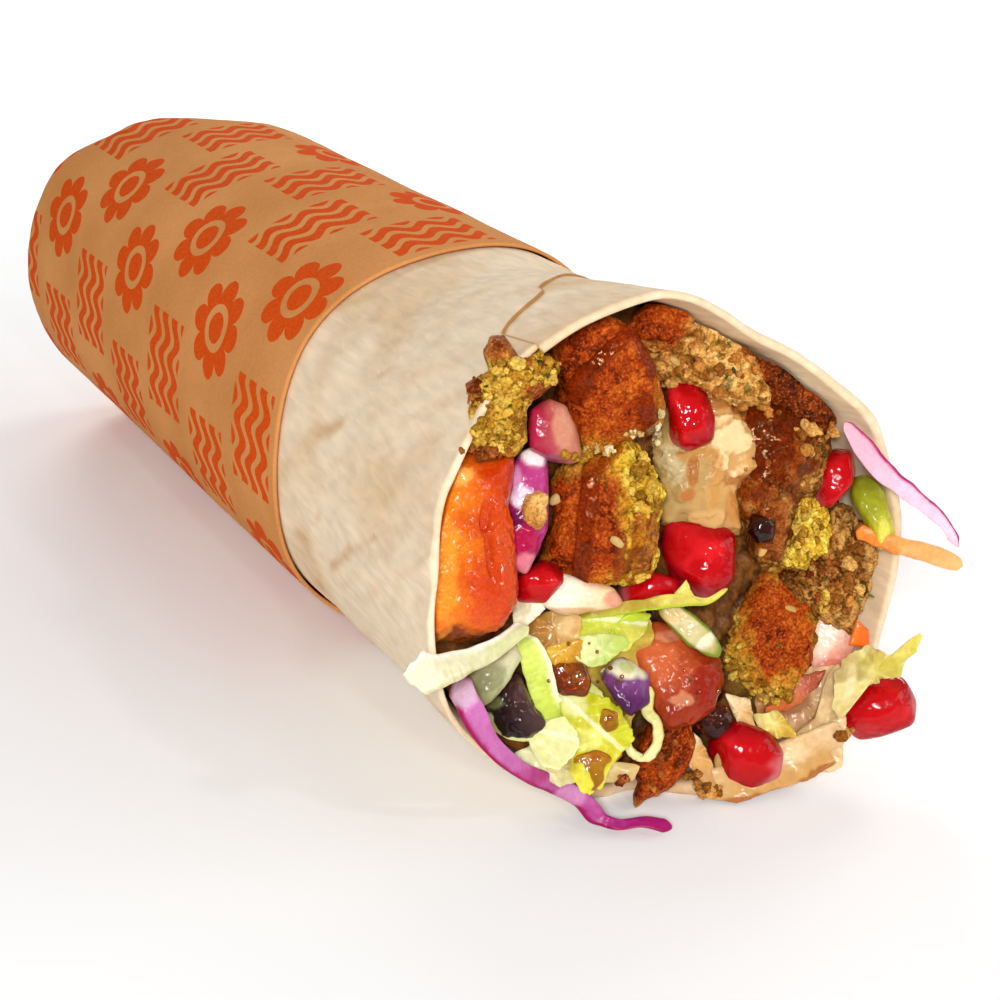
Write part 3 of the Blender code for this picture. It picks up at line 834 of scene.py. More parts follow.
@dataclass
class PaperSleeve:
    """The paper sleeve: a tube with a tucked, crumpled closed end, printed all round."""

    columns: int = 420
    rows: int = 170
    wrinkle: float = 0.2

    def edge(self, angle: Array) -> Array:
        """The front edge, pulled back and forth by the hand that tucked it."""
        return 2.2 * np.cos(4.0 * (angle - math.radians(133.0))) + np.sin(angle + 0.4) - 1.3

    def surface(self, along: Array, angle: Array, inset: float) -> Array:
        """Points of the outer wall: straight to the corner, a quarter circle round it, then in to the end's middle.

        Args:
            along: 0 at the front edge, 1 where the corner starts, 2 where it ends, 3 at the end's middle.
            angle: angle round the roll.
            inset: how far inside the outer wall.

        Returns:
            Points on the grid of the two.
        """
        back = through(ROLL.end, np.degrees(angle), 360.0)
        start = back - ROLL.end_corner
        edge = self.edge(angle)
        straight = np.clip(along, 0.0, 1.0)
        turn = np.clip(along - 1.0, 0.0, 1.0) * math.pi / 2.0
        inward = np.clip(along - 2.0, 0.0, 1.0)
        y = edge + (start - edge) * straight + ROLL.end_corner * np.sin(turn) - inset * np.sin(turn)
        radius = ROLL.radius(y) + ROLL.gap + ROLL.paper - inset - ROLL.end_corner * (1.0 - np.cos(turn))
        middle = through(ROLL.end, np.arange(0.0, 360.0, 5.0), 360.0).mean() - ROLL.end_hollow - inset
        y = mixed(y, middle, smooth_step(inward) * inward)
        points = ROLL.ring(radius * (1.0 - inward), angle, y, inset)
        pleat = np.sin(angle * 9.0 + 1.7 * np.sin(angle * 2.0)) * between(along, 1.3, 2.2)
        outward = stacked(np.cos(angle), 0.0 * y, np.sin(angle))
        flat = stacked(angle * ROLL.paper_radius / 4.5, y / 9.0, 3.0)
        calm = between(points[..., 2], 0.0, 6.0) * between(y, -4.0, 12.0)
        crease = np.abs(noise(flat * 1.4, 2.0, 5)) ** 0.7 * 1.2
        height = self.wrinkle * (fractal(flat, 1.6, 3) + 0.7 * crease) * calm
        points = points + outward * height[..., None]
        return points + np.array((0.0, 1.0, 0.0)) * (pleat * 0.9 * (1.0 - inward**2))[..., None]

    def build(self) -> None:
        """Make the sleeve's outer and inner walls and put them in the scene."""
        angle = (np.arange(self.columns) / self.columns * 2.0 - 0.5) * math.pi
        forward = np.concatenate(
            [np.linspace(0.0, 1.0, self.rows), 1.0 + np.arange(1, 15) / 14.0, 2.0 + np.arange(1, 12) / 12.0]
        )
        outer = self.surface(forward[:, None], angle[None, :], 0.0)
        back = np.array((0.0, 0.015, 0.06, 0.3, 0.7, 1.0, 1.5, 2.0, 2.5))
        inner = self.surface(back[:, None], angle[None, :], ROLL.paper)
        rows = np.concatenate([inner[::-1], outer])
        middle = np.array((0.0, through(ROLL.end, np.arange(0.0, 360.0, 5.0), 360.0).mean() - ROLL.end_hollow, 0.0))
        middle[2] = ROLL.centre(np.array(middle[1]))
        skin = tube(rows, middle - np.array((0.0, ROLL.paper, 0.0)), middle)
        around = np.broadcast_to((angle + math.pi / 2.0) * ROLL.paper_radius, rows.shape[:2])
        length = np.cumsum(np.linalg.norm(np.diff(rows, axis=0, prepend=rows[:1]), axis=-1), axis=0)
        length = length - length[len(back)]
        flat = stacked(around, length, 0.0).reshape(-1, 3)
        skin.mark(flat=np.concatenate([flat, [flat[0], flat[-1]]]))
        write_piece("paper_sleeve_printed", skin, KraftPaper().make(), ("paper_sleeve",))


@dataclass
class Tortilla:
    """The rolled sheet: soft, with a free edge that makes a step, small creases and an uneven rim."""

    columns: int = 420
    front_rows: int = 128
    crease_height: float = 0.5

    def seam_angle(self, y: Array) -> Array:
        """Where the free edge lies."""
        return np.radians(through(ROLL.seam, y))

    def turned(self, y: Array, around: Array) -> Array:
        """Angles round a row whose two ends sit at the free edge, easing back to plain ones across from it."""
        plain = self.seam_angle(np.array(-ROLL.mouth_y))
        shift = self.seam_angle(y) - plain
        return plain + 2.0 * math.pi * around + shift * (1.0 - smooth_step(2.0 * np.minimum(around, 1.0 - around)))

    def relief(self, angle: Array, y: Array) -> Array:
        """How far the soft skin stands off the plain roll: long shallow swells, fine creases and one fold."""
        degrees = np.degrees(angle) % 360.0
        flat = stacked(angle * 36.0, y, 1.0)
        swell = 0.45 * fractal(flat * np.array((0.8, 1.0, 1.0)), 22.0, 11)
        slant = stacked(flat[..., 0] - 0.7 * flat[..., 1], flat[..., 1] * 0.25, 1.0)
        fine = 0.10 * fractal(slant, 2.6, 23)
        fold_at = 172.0 + 0.5 * (y + 50.0)
        fold = np.exp(-(((degrees - fold_at) / 3.2) ** 2)) * between(y, -34.0, -56.0)
        hollow = np.exp(-(((degrees - fold_at - 7.0) / 4.0) ** 2)) * between(y, -30.0, -52.0)
        visible = between(y, 2.0, -6.0)
        return (swell + fine) * visible + self.crease_height * (fold - 0.6 * hollow)

    def outer(self, y_flat: Array, around: Array) -> tuple[Array, Array, Array]:
        """Points, angles and places along the roll of the outer side."""
        angle = self.turned(y_flat, around)
        rim = through(ROLL.rim, np.degrees(angle), 360.0)
        y = y_flat + (rim + ROLL.mouth_y) * np.maximum(-y_flat / ROLL.mouth_y, 0.0)
        lap = ROLL.lap * between(y, 10.0, -2.0)
        radius = ROLL.radius(y, angle) - lap * around + self.relief(angle, y) * between(ROLL.lap * y, 4.0, 0.0)
        return ROLL.ring(radius, angle, y, ROLL.floor(y)), angle, y

    def inner(self, y_flat: Array, around: Array) -> tuple[Array, Array, Array]:
        """Points, angles and places along the roll of the inner side."""
        angle = self.turned(np.array(-ROLL.mouth_y), around) + 0.0 * y_flat
        rim = through(ROLL.rim, np.degrees(angle), 360.0)
        y = y_flat + (rim + ROLL.mouth_y) * np.maximum(-y_flat / ROLL.mouth_y, 0.0)
        ripple = 0.2 * noise(stacked(angle * 36.0, y, 0.0), 6.0, 31)
        thinned = 1.25 * (1.0 - 0.75 * around) * between(y_flat, -50.0, -ROLL.mouth_y)
        radius = ROLL.radius(y, angle) - ROLL.wall + thinned + ripple * (1.0 - 0.6 * thinned)
        return ROLL.ring(radius, angle, y, ROLL.floor(y) + ROLL.wall), angle, y

    def build(self) -> None:
        """Make the sheet and put it in the scene."""
        plain = np.linspace(0.004, 0.996, self.columns)
        around = np.concatenate([(0.0, 0.0006, 0.0016), plain, (0.9984, 0.9994, 1.0)])[None, :]
        y_out = np.concatenate([np.linspace(-ROLL.mouth_y, 3.0, self.front_rows), [12.0, 40.0, 70.0, 90.0]])
        y_in = np.concatenate([np.linspace(-ROLL.mouth_y, -40.0, 30), [-20.0, 20.0, 60.0, 86.0]])
        outer, angle, y = self.outer(y_out[:, None], around)
        inner, angle_in, y_inner = self.inner(y_in[:, None], around)
        bulge = np.linspace(0.0, math.pi, 7)[1:-1][:, None, None]
        middle, half = (outer[0] + inner[0]) / 2.0, (outer[0] - inner[0]) / 2.0
        forward = np.array((0.0, -1.0, 0.0)) * np.linalg.norm(half, axis=-1, keepdims=True) * 0.9
        rim = middle + half * -np.cos(bulge) + forward * np.sin(bulge)
        rows = np.concatenate([inner[::-1], rim, outer])
        skin = tube(rows, inner[-1].mean(axis=0), outer[-1].mean(axis=0))
        rim_angle = np.broadcast_to(angle[:1], (5, around.shape[1]))
        rim_y = np.broadcast_to(y[:1], rim_angle.shape)
        angles = np.concatenate([angle_in[::-1], rim_angle, angle])
        ys = np.concatenate([y_inner[::-1] + 0.0 * angle_in, rim_y, y + 0.0 * angle])
        inside = np.concatenate([np.ones(angle_in.shape), 0.7 + 0.0 * rim_angle, np.zeros(angle.shape)])
        spread = np.broadcast_to(around, angles.shape)
        tint = self.colour(rows, angles, ys, inside, spread)
        wet = inside * 0.25 + between(-np.sin(angles), 0.55, 0.9) * between(ys, -62.0, -70.0) * 0.5
        ends = np.array([[0.75, 0.6, 0.4]] * 2)
        skin.mark(tint=np.concatenate([tint.reshape(-1, 3), ends]), wet=np.concatenate([wet.ravel(), [0.0, 0.0]]))
        write_piece("tortilla_sheet", skin, TortillaFinish().make(), ("tortilla",))

    def colour(self, points: Array, angle: Array, y: Array, inside: Array, around: Array) -> Array:
        """Cream, with beige clouds, short golden toasted dashes, a golden line at the free edge and a tan inside."""
        cream, beige, gold = linear("#EDD7B8"), linear("#D8B488"), linear("#BE8442")
        flat = stacked(angle * 36.0, y, 0.0)
        slant = stacked(flat[..., 0] - 0.6 * flat[..., 1], 0.3 * flat[..., 1], 0.0)
        cloud = between(fractal(flat, 14.0, 41), -0.25, 0.6)
        streak = between(fractal(slant, 3.0, 43), 0.0, 0.8)
        colour = mixed(np.broadcast_to(cream, points.shape), beige, 0.55 * cloud + 0.35 * streak)
        toast = between(fractal(slant, 4.0, 47), 0.5, 0.85) * between(noise(flat, 18.0, 49), 0.0, 0.6)
        colour = mixed(colour, gold, 0.55 * toast)
        line = np.exp(-((np.minimum(around, 1.0 - around) * 232.0 / 0.25) ** 2)) * between(y, -6.0, -34.0)
        colour = mixed(colour, linear("#A8702C"), 0.9 * line)
        colour = mixed(colour, linear("#E2C8A0"), 0.75 * inside * between(fractal(points, 7.0, 51), -0.6, 0.5))
        sauced = between(-np.sin(angle), 0.5, 0.85) * inside * between(fractal(points, 5.0, 53), -0.3, 0.4)
        return mixed(colour, linear("#C08A4E"), 0.6 * sauced)


# ---------------------------------------------------------------- filling


class Crumb(Enum):
    """The colour of a broken falafel's inside: dark, middle and light crumbs."""

    OLIVE = ("#7A4E12", "#B07E26", "#D8B044")
    YELLOW = ("#94681A", "#D0A42C", "#EED254")
    GOLD = ("#84501A", "#C2883C", "#E4B468")
    BROWN = ("#54300F", "#8E5A24", "#C8944E")
    DARK = ("#22120A", "#3C2110", "#6A4020")


class Crust(Enum):
    """The colour of the fried outside: dark, middle and light, spread over it by grain and noise."""

    RED = ("#601804", "#963408", "#BE5C18")
    DEEP = ("#3A1206", "#6C280A", "#A84A18")
    BROWN = ("#5E2A0E", "#8E4618", "#C07A36")


@dataclass(frozen=True)
class Patch:
    """A blot on a piece: an ellipse with an uneven edge, in the mouth's millimetres, turned by some degrees."""

    right: float
    up: float
    wide: float
    high: float
    colour: str = "#000000"
    share: float = 0.9
    wet: float = 0.0
    rise: float = 0.0
    soft: float = 0.25
    torn: float = 0.25
    turn: float = 0.0
    power: float = 2.0

    def cover(self, points: Array) -> Array:
        """1 inside the blot and 0 outside it."""
        place = in_mouth(points)
        cos, sin = math.cos(math.radians(self.turn)), math.sin(math.radians(self.turn))
        x, z = place[:, 0] - self.right, place[:, 1] - self.up
        across, along = np.abs(x * cos + z * sin) / self.wide, np.abs(z * cos - x * sin) / self.high
        away = (across**self.power + along**self.power) ** (1.0 / self.power)
        away = away + self.torn * fractal(points, 1.8, int(7 * self.wide + 13 * self.high))
        return between(away, 1.0 + self.soft, 1.0 - self.soft)


@dataclass(frozen=True)
class Streak:
    """Sauce run along a line from one place of the mouth to another, with a half width."""

    right: float
    up: float
    to_right: float
    to_up: float
    half: float

    def cover(self, points: Array) -> Array:
        """1 on the streak and 0 off it."""
        place = in_mouth(points)
        way = np.array((self.to_right - self.right, self.to_up - self.up))
        x, z = place[:, 0] - self.right, place[:, 1] - self.up
        at = np.clip((x * way[0] + z * way[1]) / (way @ way), 0.0, 1.0)
        away = np.hypot(x - at * way[0], z - at * way[1]) + 0.3 * self.half * fractal(points, 2.6, 29)
        return between(away, 1.35 * self.half, 1.05 * self.half)


def covered_by(blots: tuple, points: Array) -> Array:
    """1 where any of the blots lies."""
    return np.max([blot.cover(points) for blot in blots], axis=0) if blots else np.zeros(len(points))


@dataclass
class Falafel:
    """A broken falafel: a fried grainy crust over part of it, torn crumb over the rest, and sauce run over both."""

    node: str
    outline: Outline
    crumb: Crumb
    crust: Crust
    crusted: tuple[Patch, ...] = ()
    sauce: tuple = ()
    seed: int = 0
    cells: int = 60
    rough: float = 1.0
    grow: float = 1.0
    hangs: bool = False

    def build(self, material: bpy.types.Material, slot: str) -> None:
        """Make the piece and put it in the scene."""
        lump = Lump.of(self.outline, self.cells, self.grow)
        place = lump.points
        crust = covered_by(self.crusted, place)
        sauce = covered_by(self.sauce, place)
        torn = 1.0 - crust
        bent = place + 0.7 * noise(place, 1.5, self.seed)[:, None]
        chunk, chunk_id = grains(bent, 2.4, self.seed + 5)
        crumb, crumb_id = grains(bent, 1.2, self.seed + 7)
        fine, fine_id = grains(place, 0.6, self.seed + 9)
        relief = 0.8 * fractal(place, 6.0, self.seed + 11)
        jagged = 0.35 * fractal(place, 1.5, self.seed + 21) + 0.15 * noise(place, 0.55, self.seed + 23)
        relief = relief + self.rough * torn * (1.0 * (chunk - 0.8) + 0.75 * (crumb - 0.6) + 0.35 * (fine - 0.6) + jagged)
        relief = relief + crust * (0.25 + 0.16 * (crumb - 0.6) + 0.3 * (fine - 0.6) + 0.6 * jagged)
        lump.reach = lump.reach + relief
        smooth = relaxed(lump.reach, lump.quads, 12) + 0.45
        lump.reach = mixed(lump.reach, smooth, sauce)
        # Painted shade: where the relief sinks below its smoothed self the colour is darkened, as the shade in the
        # pits; none under the sauce.
        pit = between(relief - relaxed(relief, lump.quads, 16), 0.05, -0.4) * (1.0 - sauce)
        tint = self.colour(crust, pit, 0.4 * chunk_id + 0.6 * crumb_id, fine_id, place)
        tint = mixed(tint, tint * np.array((0.30, 0.12, 0.03)) + linear("#642404") * 0.5, 0.92 * sauce)
        skin = lump.skin(self.hangs).mark(tint=tint, wet=np.maximum(sauce, 0.22 + 0.18 * crust))
        write_piece(self.node + "_detail", skin, material, (self.node,))

    def colour(self, crust: Array, pit: Array, grain: Array, speck: Array, place: Array) -> Array:
        """Each crumb has its own tone, the relief's pits are darkened as painted shade, and herb specks are green."""
        low, middle, high = (linear(code) for code in self.crumb.value)
        share = between(grain + 0.7 * fractal(place, 3.5, self.seed + 13), -0.9, 0.9)
        inside = mixed(np.broadcast_to(low, place.shape), middle, between(share, 0.0, 0.45))
        inside = mixed(inside, high, between(share, 0.45, 1.0))
        herb = between(noise(place, 1.2, self.seed + 15), 0.72, 0.82)
        inside = mixed(inside, linear("#46501A"), 0.7 * herb)
        low, middle, high = (linear(code) for code in self.crust.value)
        share = between(0.4 * speck + 0.5 * fractal(place, 1.5, self.seed + 19) + 0.4 * noise(place, 4.0, 3), -0.9, 0.9)
        outside = mixed(np.broadcast_to(low, place.shape), middle, between(share, 0.1, 0.45))
        outside = mixed(outside, high, 0.8 * between(share, 0.6, 1.0))
        edge = crust * (1.0 - crust) * 4.0
        colour = mixed(mixed(inside, outside, crust), linear("#C8701E"), 0.35 * edge)
        # Painted shade in the pits: up to three quarters darker.
        return colour * (1.0 - 0.75 * pit)[:, None]


FALAFELS: tuple[Falafel, ...] = (
    Falafel(
        "falafel_upper_left",
        Outline(-0.8, ((-11.5, 38), (-7.5, 36.5), (-5.5, 33), (-3.5, 28.5), (-2.5, 25), (-3, 22.5), (-9, 20),
                       (-14, 17), (-16, 20.5), (-18, 25), (-18, 28.5), (-19.5, 33.5), (-16, 36.5)), 7.0, 3.4,
                (-0.1, -0.25)),
        Crumb.OLIVE, Crust.RED, (Patch(-11.2, 29.2, 8.6, 9.6, power=4.0, torn=0.12),),
        (Streak(-7.7, 35.5, -14.2, 29.2, 0.8), Streak(-14.2, 29.2, -14.9, 26.8, 1.3), Streak(-6, 25.4, -4.5, 22, 1.2),
         Streak(-7.7, 35.5, -5.2, 29.5, 0.7)),
        101,
    ),
    Falafel(
        "falafel_middle",
        Outline(3.0, ((-13.5, 18.5), (-10, 19.5), (-7.5, 20.5), (-3, 15), (-2, 12.5), (-3, 8), (-3.5, 5), (-2.5, 3.5),
                      (-4, 0), (-7.5, -1.5), (-14.5, -2), (-17, -0.5), (-21, 1.5), (-20.5, 3.5), (-18.5, 7.5),
                      (-18.5, 11), (-19.5, 14), (-17, 17)), 7.0, 3.4, (0.0, -0.15)),
        Crumb.YELLOW, Crust.RED, (Patch(-14.8, 7.2, 6.0, 8.8, power=4.0, torn=0.12),),
        (Streak(-10.2, 18.6, -13.2, 15.2, 1.3), Streak(-13.2, 15.2, -14.9, -1.5, 1.1),
         Streak(-5.4, 9.5, -6.2, 0.0, 1.7), Streak(-9.4, 6.0, -9.0, 0.0, 0.7)),
        102,
    ),
    Falafel(
        "falafel_top_bit",
        Outline(0.8, ((-8, 36.5), (-5, 40), (-1, 40.5), (2, 39.5), (2, 37), (-1, 34.5), (-4, 33.5), (-6.5, 34)), 4.5),
        Crumb.GOLD, Crust.RED, (Patch(-3.6, 37.6, 4.4, 3.6, torn=0.3),), (), 103, 40,
    ),
    Falafel(
        "falafel_broken_gold",
        Outline(6.0, ((-0.5, 38), (2.5, 38.8), (6, 38.6), (9.5, 37), (11, 34), (12.5, 31), (14, 28), (14, 26),
                      (10, 25.5), (6, 27), (2.5, 28), (-1, 28.5), (-4.5, 29.5), (-5.5, 34), (-4, 36.5)), 6.0, 2.8,
                (0.0, -0.2)),
        Crumb.GOLD, Crust.BROWN, (Patch(11.2, 33.2, 1.8, 1.2, torn=0.4),), (), 104, 80, 1.2,
    ),
    Falafel(
        "falafel_dark_crust",
        Outline(12.2, ((8.5, 34.5), (13.5, 34.5), (16.5, 32.5), (19.5, 30), (22.5, 27.5), (25.5, 24), (24, 21),
                       (20, 22), (17.5, 24.5), (14.5, 26), (12.5, 29), (9.5, 31.5)), 4.5, 2.8, (0.1, -0.4)),
        Crumb.BROWN, Crust.DEEP, (Patch(17, 28, 12, 12),), (), 105, 52,
    ),
    Falafel(
        "falafel_glazed",
        Outline(17.8, ((6.5, 29), (11.5, 28), (16.5, 27.5), (20, 26), (24, 24), (25, 19.5), (24.5, 15.5), (24.5, 12.5),
                       (20, 11.5), (19.5, 9.5), (19, 5), (17.5, 1.0), (13.5, 1.5), (12, 7), (10, 10), (9, 14),
                       (11, 17), (9.5, 21.5), (8, 26)), 9.0, 2.6, (0.1, -0.1)),
        Crumb.BROWN, Crust.DEEP, (Patch(14, 20, 4.5, 8.0, torn=0.5, turn=-20.0),),
        (Patch(15.2, 18.5, 5.6, 9.6, torn=0.8), Patch(14.8, 7.0, 2.8, 4.2, torn=0.6), Patch(9.5, 27, 3.0, 1.6, torn=0.6),
         Patch(19.5, 19.5, 2.4, 2.4, torn=0.7)),
        106, 72, 0.9,
    ),
    Falafel(
        "falafel_right",
        Outline(22.1, ((25.5, 11), (29.5, 10), (32.4, 5), (33.4, 1.8), (31.8, -3.5), (30.4, -6.5), (29.4, -11), (27.5, -9.5),
                       (25.5, -8.5), (21.5, -6), (17.5, -1), (19.5, 3), (25, 5)), 5.5, 2.6, (0.1, 0.0)),
        Crumb.BROWN, Crust.BROWN, (), (), 107, 64, 1.1,
    ),
    Falafel(
        "falafel_lower_right",
        Outline(24.6, ((14, -0.5), (17.5, 2), (19.5, -1), (22.5, -3), (25, -7.5), (24, -11.5), (22.5, -14.5),
                       (21.5, -18), (19.5, -22), (17, -21), (13.5, -19.5), (10, -18), (8, -13.5), (9.5, -9.5),
                       (11.5, -6)), 7.0, 3.0, (0.0, 0.0)),
        Crumb.OLIVE, Crust.RED, (Patch(17.6, -8.6, 5.4, 8.4, torn=0.35, turn=8.0, power=3.0),), (), 108,
    ),
    Falafel(
        "falafel_crumble_left",
        Outline(-14.0, ((-28.2, 34.6), (-26, 34.6), (-24.2, 31.8), (-21.5, 32.4), (-18.8, 30.6), (-18.4, 28),
                        (-20.8, 26.4), (-23, 25), (-23, 22), (-22.8, 19.6), (-24.5, 18), (-28.5, 17.4), (-32, 18.4),
                        (-32, 21.5), (-31, 24), (-31.4, 27.6), (-28.4, 29.6), (-29.2, 32.4)),
                6.0, 2.4, (0.2, -0.35)),
        Crumb.OLIVE, Crust.BROWN, (Patch(-27.5, 33.0, 2.6, 2.2, torn=0.6), Patch(-31.6, 27.5, 1.6, 2.8, torn=0.6),
                                   Patch(-24.0, 31.0, 1.4, 1.4, torn=0.6), Patch(-21.0, 26.8, 2.4, 1.0, torn=0.6)),
        (), 109, 80, 0.95, 0.97, True,
    ),
    Falafel(
        "falafel_bottom_bit",
        Outline(14.0, ((-2.5, -22), (2.5, -22.5), (3.5, -27), (2, -30), (-0.5, -33), (-5, -36), (-6, -34.5),
                       (-4, -33), (-7, -31), (-5, -28)), 3.6, 2.4),
        Crumb.BROWN, Crust.RED, (Patch(-1.0, -28, 8, 9, torn=0.6),), (), 110, 48, 1.3,
    ),
    Falafel(
        "falafel_yellow_bit",
        Outline(17.4, ((19, 13), (21.5, 13), (24, 10.5), (25.5, 7.5), (24.5, 3.5), (21, 0.5), (17.5, 1), (17, 3),
                       (19, 4.5), (17, 8.5)), 4.5, 2.4, (0.0, 0.0)),
        Crumb.YELLOW, Crust.BROWN, (), (), 111, 52, 1.3,
    ),
)


@dataclass
class Morsel:
    """A smooth piece of vegetable, fruit or sauce: two colours across it, blots of others, and shallow bumps.

    The first colour turns into the second along `way`, a direction right and up; `bumps` are pairs of the size
    and the height of a layer of noise.
    """

    name: str
    slot: str
    outline: Outline
    colours: tuple[str, str]
    way: tuple[float, float] = (1.0, 0.0)
    patches: tuple[Patch, ...] = ()
    bumps: tuple[tuple[float, float], ...] = ((4.0, 0.25),)
    wet: float = 0.8
    cells: int = 30
    grow: float = 1.0
    rounds: int = 6
    rim: str = ""
    seed: int = 0
    node: bool = True

    def build(self, material: bpy.types.Material) -> None:
        """Make the piece and put it in the scene."""
        lump = Lump.of(self.outline, self.cells, self.grow, self.rounds)
        place = lump.points
        for size, height in self.bumps:
            lump.reach = lump.reach + height * fractal(place, size, self.seed + int(size * 7))
        for patch in self.patches:
            if patch.rise:
                lump.reach = lump.reach + patch.rise * patch.cover(place)
        flat = in_mouth(place)[:, :2] - self.outline.middle
        along = flat @ np.array(self.way) / math.hypot(*self.way)
        along = along / np.abs(along).max() + 0.35 * fractal(place, 3.0, self.seed + 3)
        first, second = (linear(code) for code in self.colours)
        tint = mixed(np.broadcast_to(first, place.shape), second, between(along, -0.6, 0.6))
        if self.rim:
            tint = mixed(tint, linear(self.rim), between(lump.rim, 0.72, 0.92))
        wet = np.full(len(place), self.wet)
        for patch in self.patches:
            cover = patch.cover(place)
            tint = mixed(tint, linear(patch.colour), patch.share * cover)
            wet = np.maximum(wet, patch.wet * cover)
        skin = lump.skin().mark(tint=tint, wet=wet)
        write_piece(self.name + "_detail", skin, material, (self.name,) if self.node else ())


@dataclass
class Aril:
    """A pomegranate aril: clear red flesh with flat sides, pressed by its neighbours, round a pale seed."""

    node: str
    outline: Outline
    seed: int
    tip: tuple[float, float] = (0.3, -1.0)
    cells: int = 26
    facets: int = 10

    def build(self, flesh: bpy.types.Material, stone: bpy.types.Material) -> None:
        """Make the flesh and the seed inside it and put them in the scene."""
        lump = Lump.of(self.outline, self.cells, 1.06, 5)
        ways = np.random.default_rng(self.seed).normal(size=(self.facets, 3))
        ways /= np.linalg.norm(ways, axis=1, keepdims=True)
        typical = lump.reach[(ways @ lump.ways.T).argmax(axis=1)] * 0.86
        planes = typical[None, :] / np.maximum(lump.ways @ ways.T, 1e-3)
        lump.reach = -np.log(np.exp(-planes * 4.0).sum(axis=1) + np.exp(-lump.reach * 4.0)) / 4.0
        lump.reach = relaxed(lump.reach, lump.quads, 2)
        place = lump.points
        flat = in_mouth(place)[:, :2] - self.outline.middle
        toward = flat @ np.array(self.tip) / (math.hypot(*self.tip) * np.abs(flat).max())
        pale = between(toward + 0.25 * fractal(place, 3.0, self.seed + 1), 0.55, 0.95)
        tint = mixed(np.broadcast_to(linear("#D60812"), place.shape), linear("#F8222A"),
                     between(fractal(place, 4.0, self.seed + 2), 0.0, 0.8))
        # Painted shade: darker crimson towards the outline's edge.
        tint = mixed(tint, linear("#8E0214"), 0.5 * between(lump.rim, 0.55, 1.0))
        tint = mixed(tint, linear("#EE8A92"), 0.7 * pale)
        skin = lump.skin().mark(tint=tint, wet=1.0)
        write_piece(self.node + "_flesh", skin, flesh, (self.node,))
        inner = Lump(lump.outline, lump.ways, lump.quads, relaxed(lump.reach, lump.quads, 20) * 0.5)
        inner_tint = np.broadcast_to(linear("#E8A08C"), inner.points.shape)
        write_piece(self.node + "_seed", inner.skin().mark(tint=inner_tint, wet=0.5), stone)


@dataclass
class Leaf:
    """A thin soft leaf or skin: a sheet inside an outline, ruffled more and more towards its edge.

    A point a share s of the way out at angle t lies s times the outline's reach along t, and in depth by noise
    plus the ruffle's sine of t times s squared; the back is the front moved in by the thickness.
    """

    name: str
    slot: str
    outline: Outline
    colours: tuple[str, str]
    way: tuple[float, float] = (1.0, 0.0)
    patches: tuple[Patch, ...] = ()
    vein: tuple[float, float, float, float] | None = None
    ruffle: float = 0.5
    waves: float = 7.0
    swell: float = 0.8
    ragged: float = 0.06
    cell_marks: float = 0.0
    wet: float = 0.75
    seed: int = 0
    node: str = ""

    def build(self, material: bpy.types.Material) -> None:
        """Make the leaf and put it in the scene."""
        turn = np.arange(160) / 160.0 * 2.0 * math.pi
        share = np.sin(np.linspace(0.02, 1.0, 30) * math.pi / 2.0)
        edge = np.array(self.outline.edge) - self.outline.middle
        out = edge_reach(edge, turn)
        out = 0.5 * out + 0.25 * (np.roll(out, 1) + np.roll(out, -1))
        circle = stacked(np.cos(turn) * 6.0, np.sin(turn) * 6.0, self.seed)
        out = out * (1.0 + self.ragged * fractal(circle, 0.9, self.seed + 1))
        right = np.concatenate([share, share[::-1]])[:, None] * out * np.cos(turn) + self.outline.middle[0]
        up = np.concatenate([share, share[::-1]])[:, None] * out * np.sin(turn) + self.outline.middle[1]
        outward = np.concatenate([share, share[::-1]])[:, None] + 0.0 * out
        flat = stacked(right, up, self.seed)
        lift = self.swell * fractal(flat, 5.0, self.seed + 2) + 0.12 * fractal(flat, 1.6, self.seed + 4)
        lift = lift + self.ruffle * outward**2 * np.sin(self.waves * turn + 2.0 * fractal(flat, 4.0, self.seed + 3))
        lean = self.outline.lean
        depth = self.outline.depth + lift
        depth = depth + (right - self.outline.middle[0]) * lean[0] + (up - self.outline.middle[1]) * lean[1]
        thin = np.concatenate([np.sqrt(1.0 - share**12), -np.sqrt(1.0 - share[::-1] ** 12)])[:, None]
        depth = depth - thin * self.outline.thick
        rows = mouth_spot(right, up, depth)
        skin = tube(rows, rows[0].mean(axis=0), rows[-1].mean(axis=0))
        skin.mark(tint=self.colour(skin.points), wet=self.wet)
        write_piece(self.name, skin, material, (self.node,) if self.node else ())

    def colour(self, points: Array) -> Array:
        """Two colours along a direction, a pale vein with branches, cell marks and blots."""
        flat = in_mouth(points)[:, :2]
        along = (flat - self.outline.middle) @ np.array(self.way) / math.hypot(*self.way)
        along = along / np.abs(along).max() + 0.45 * fractal(points, 2.6, self.seed + 5)
        first, second = (linear(code) for code in self.colours)
        tint = mixed(np.broadcast_to(first, points.shape), second, between(along, -0.6, 0.6))
        if self.vein:
            start, end = np.array(self.vein[:2]), np.array(self.vein[2:])
            way = (end - start) / np.linalg.norm(end - start)
            on = (flat - start) @ way
            off = (flat - start) @ np.array((-way[1], way[0]))
            line = between(np.abs(off), 0.55, 0.2)
            branch = between(np.abs(np.sin(1.5 * (on - 0.8 * np.abs(off)))), 0.22, 0.08)
            tint = mixed(tint, linear("#F2F0CC"), np.maximum(0.7 * line, 0.16 * branch))
        if self.cell_marks:
            height, _ = grains(points, 1.5, self.seed + 6)
            tint = mixed(tint, tint * 0.6, self.cell_marks * between(height, 0.45, 0.25))
        for patch in self.patches:
            tint = mixed(tint, linear(patch.colour), patch.share * patch.cover(points))
        return tint


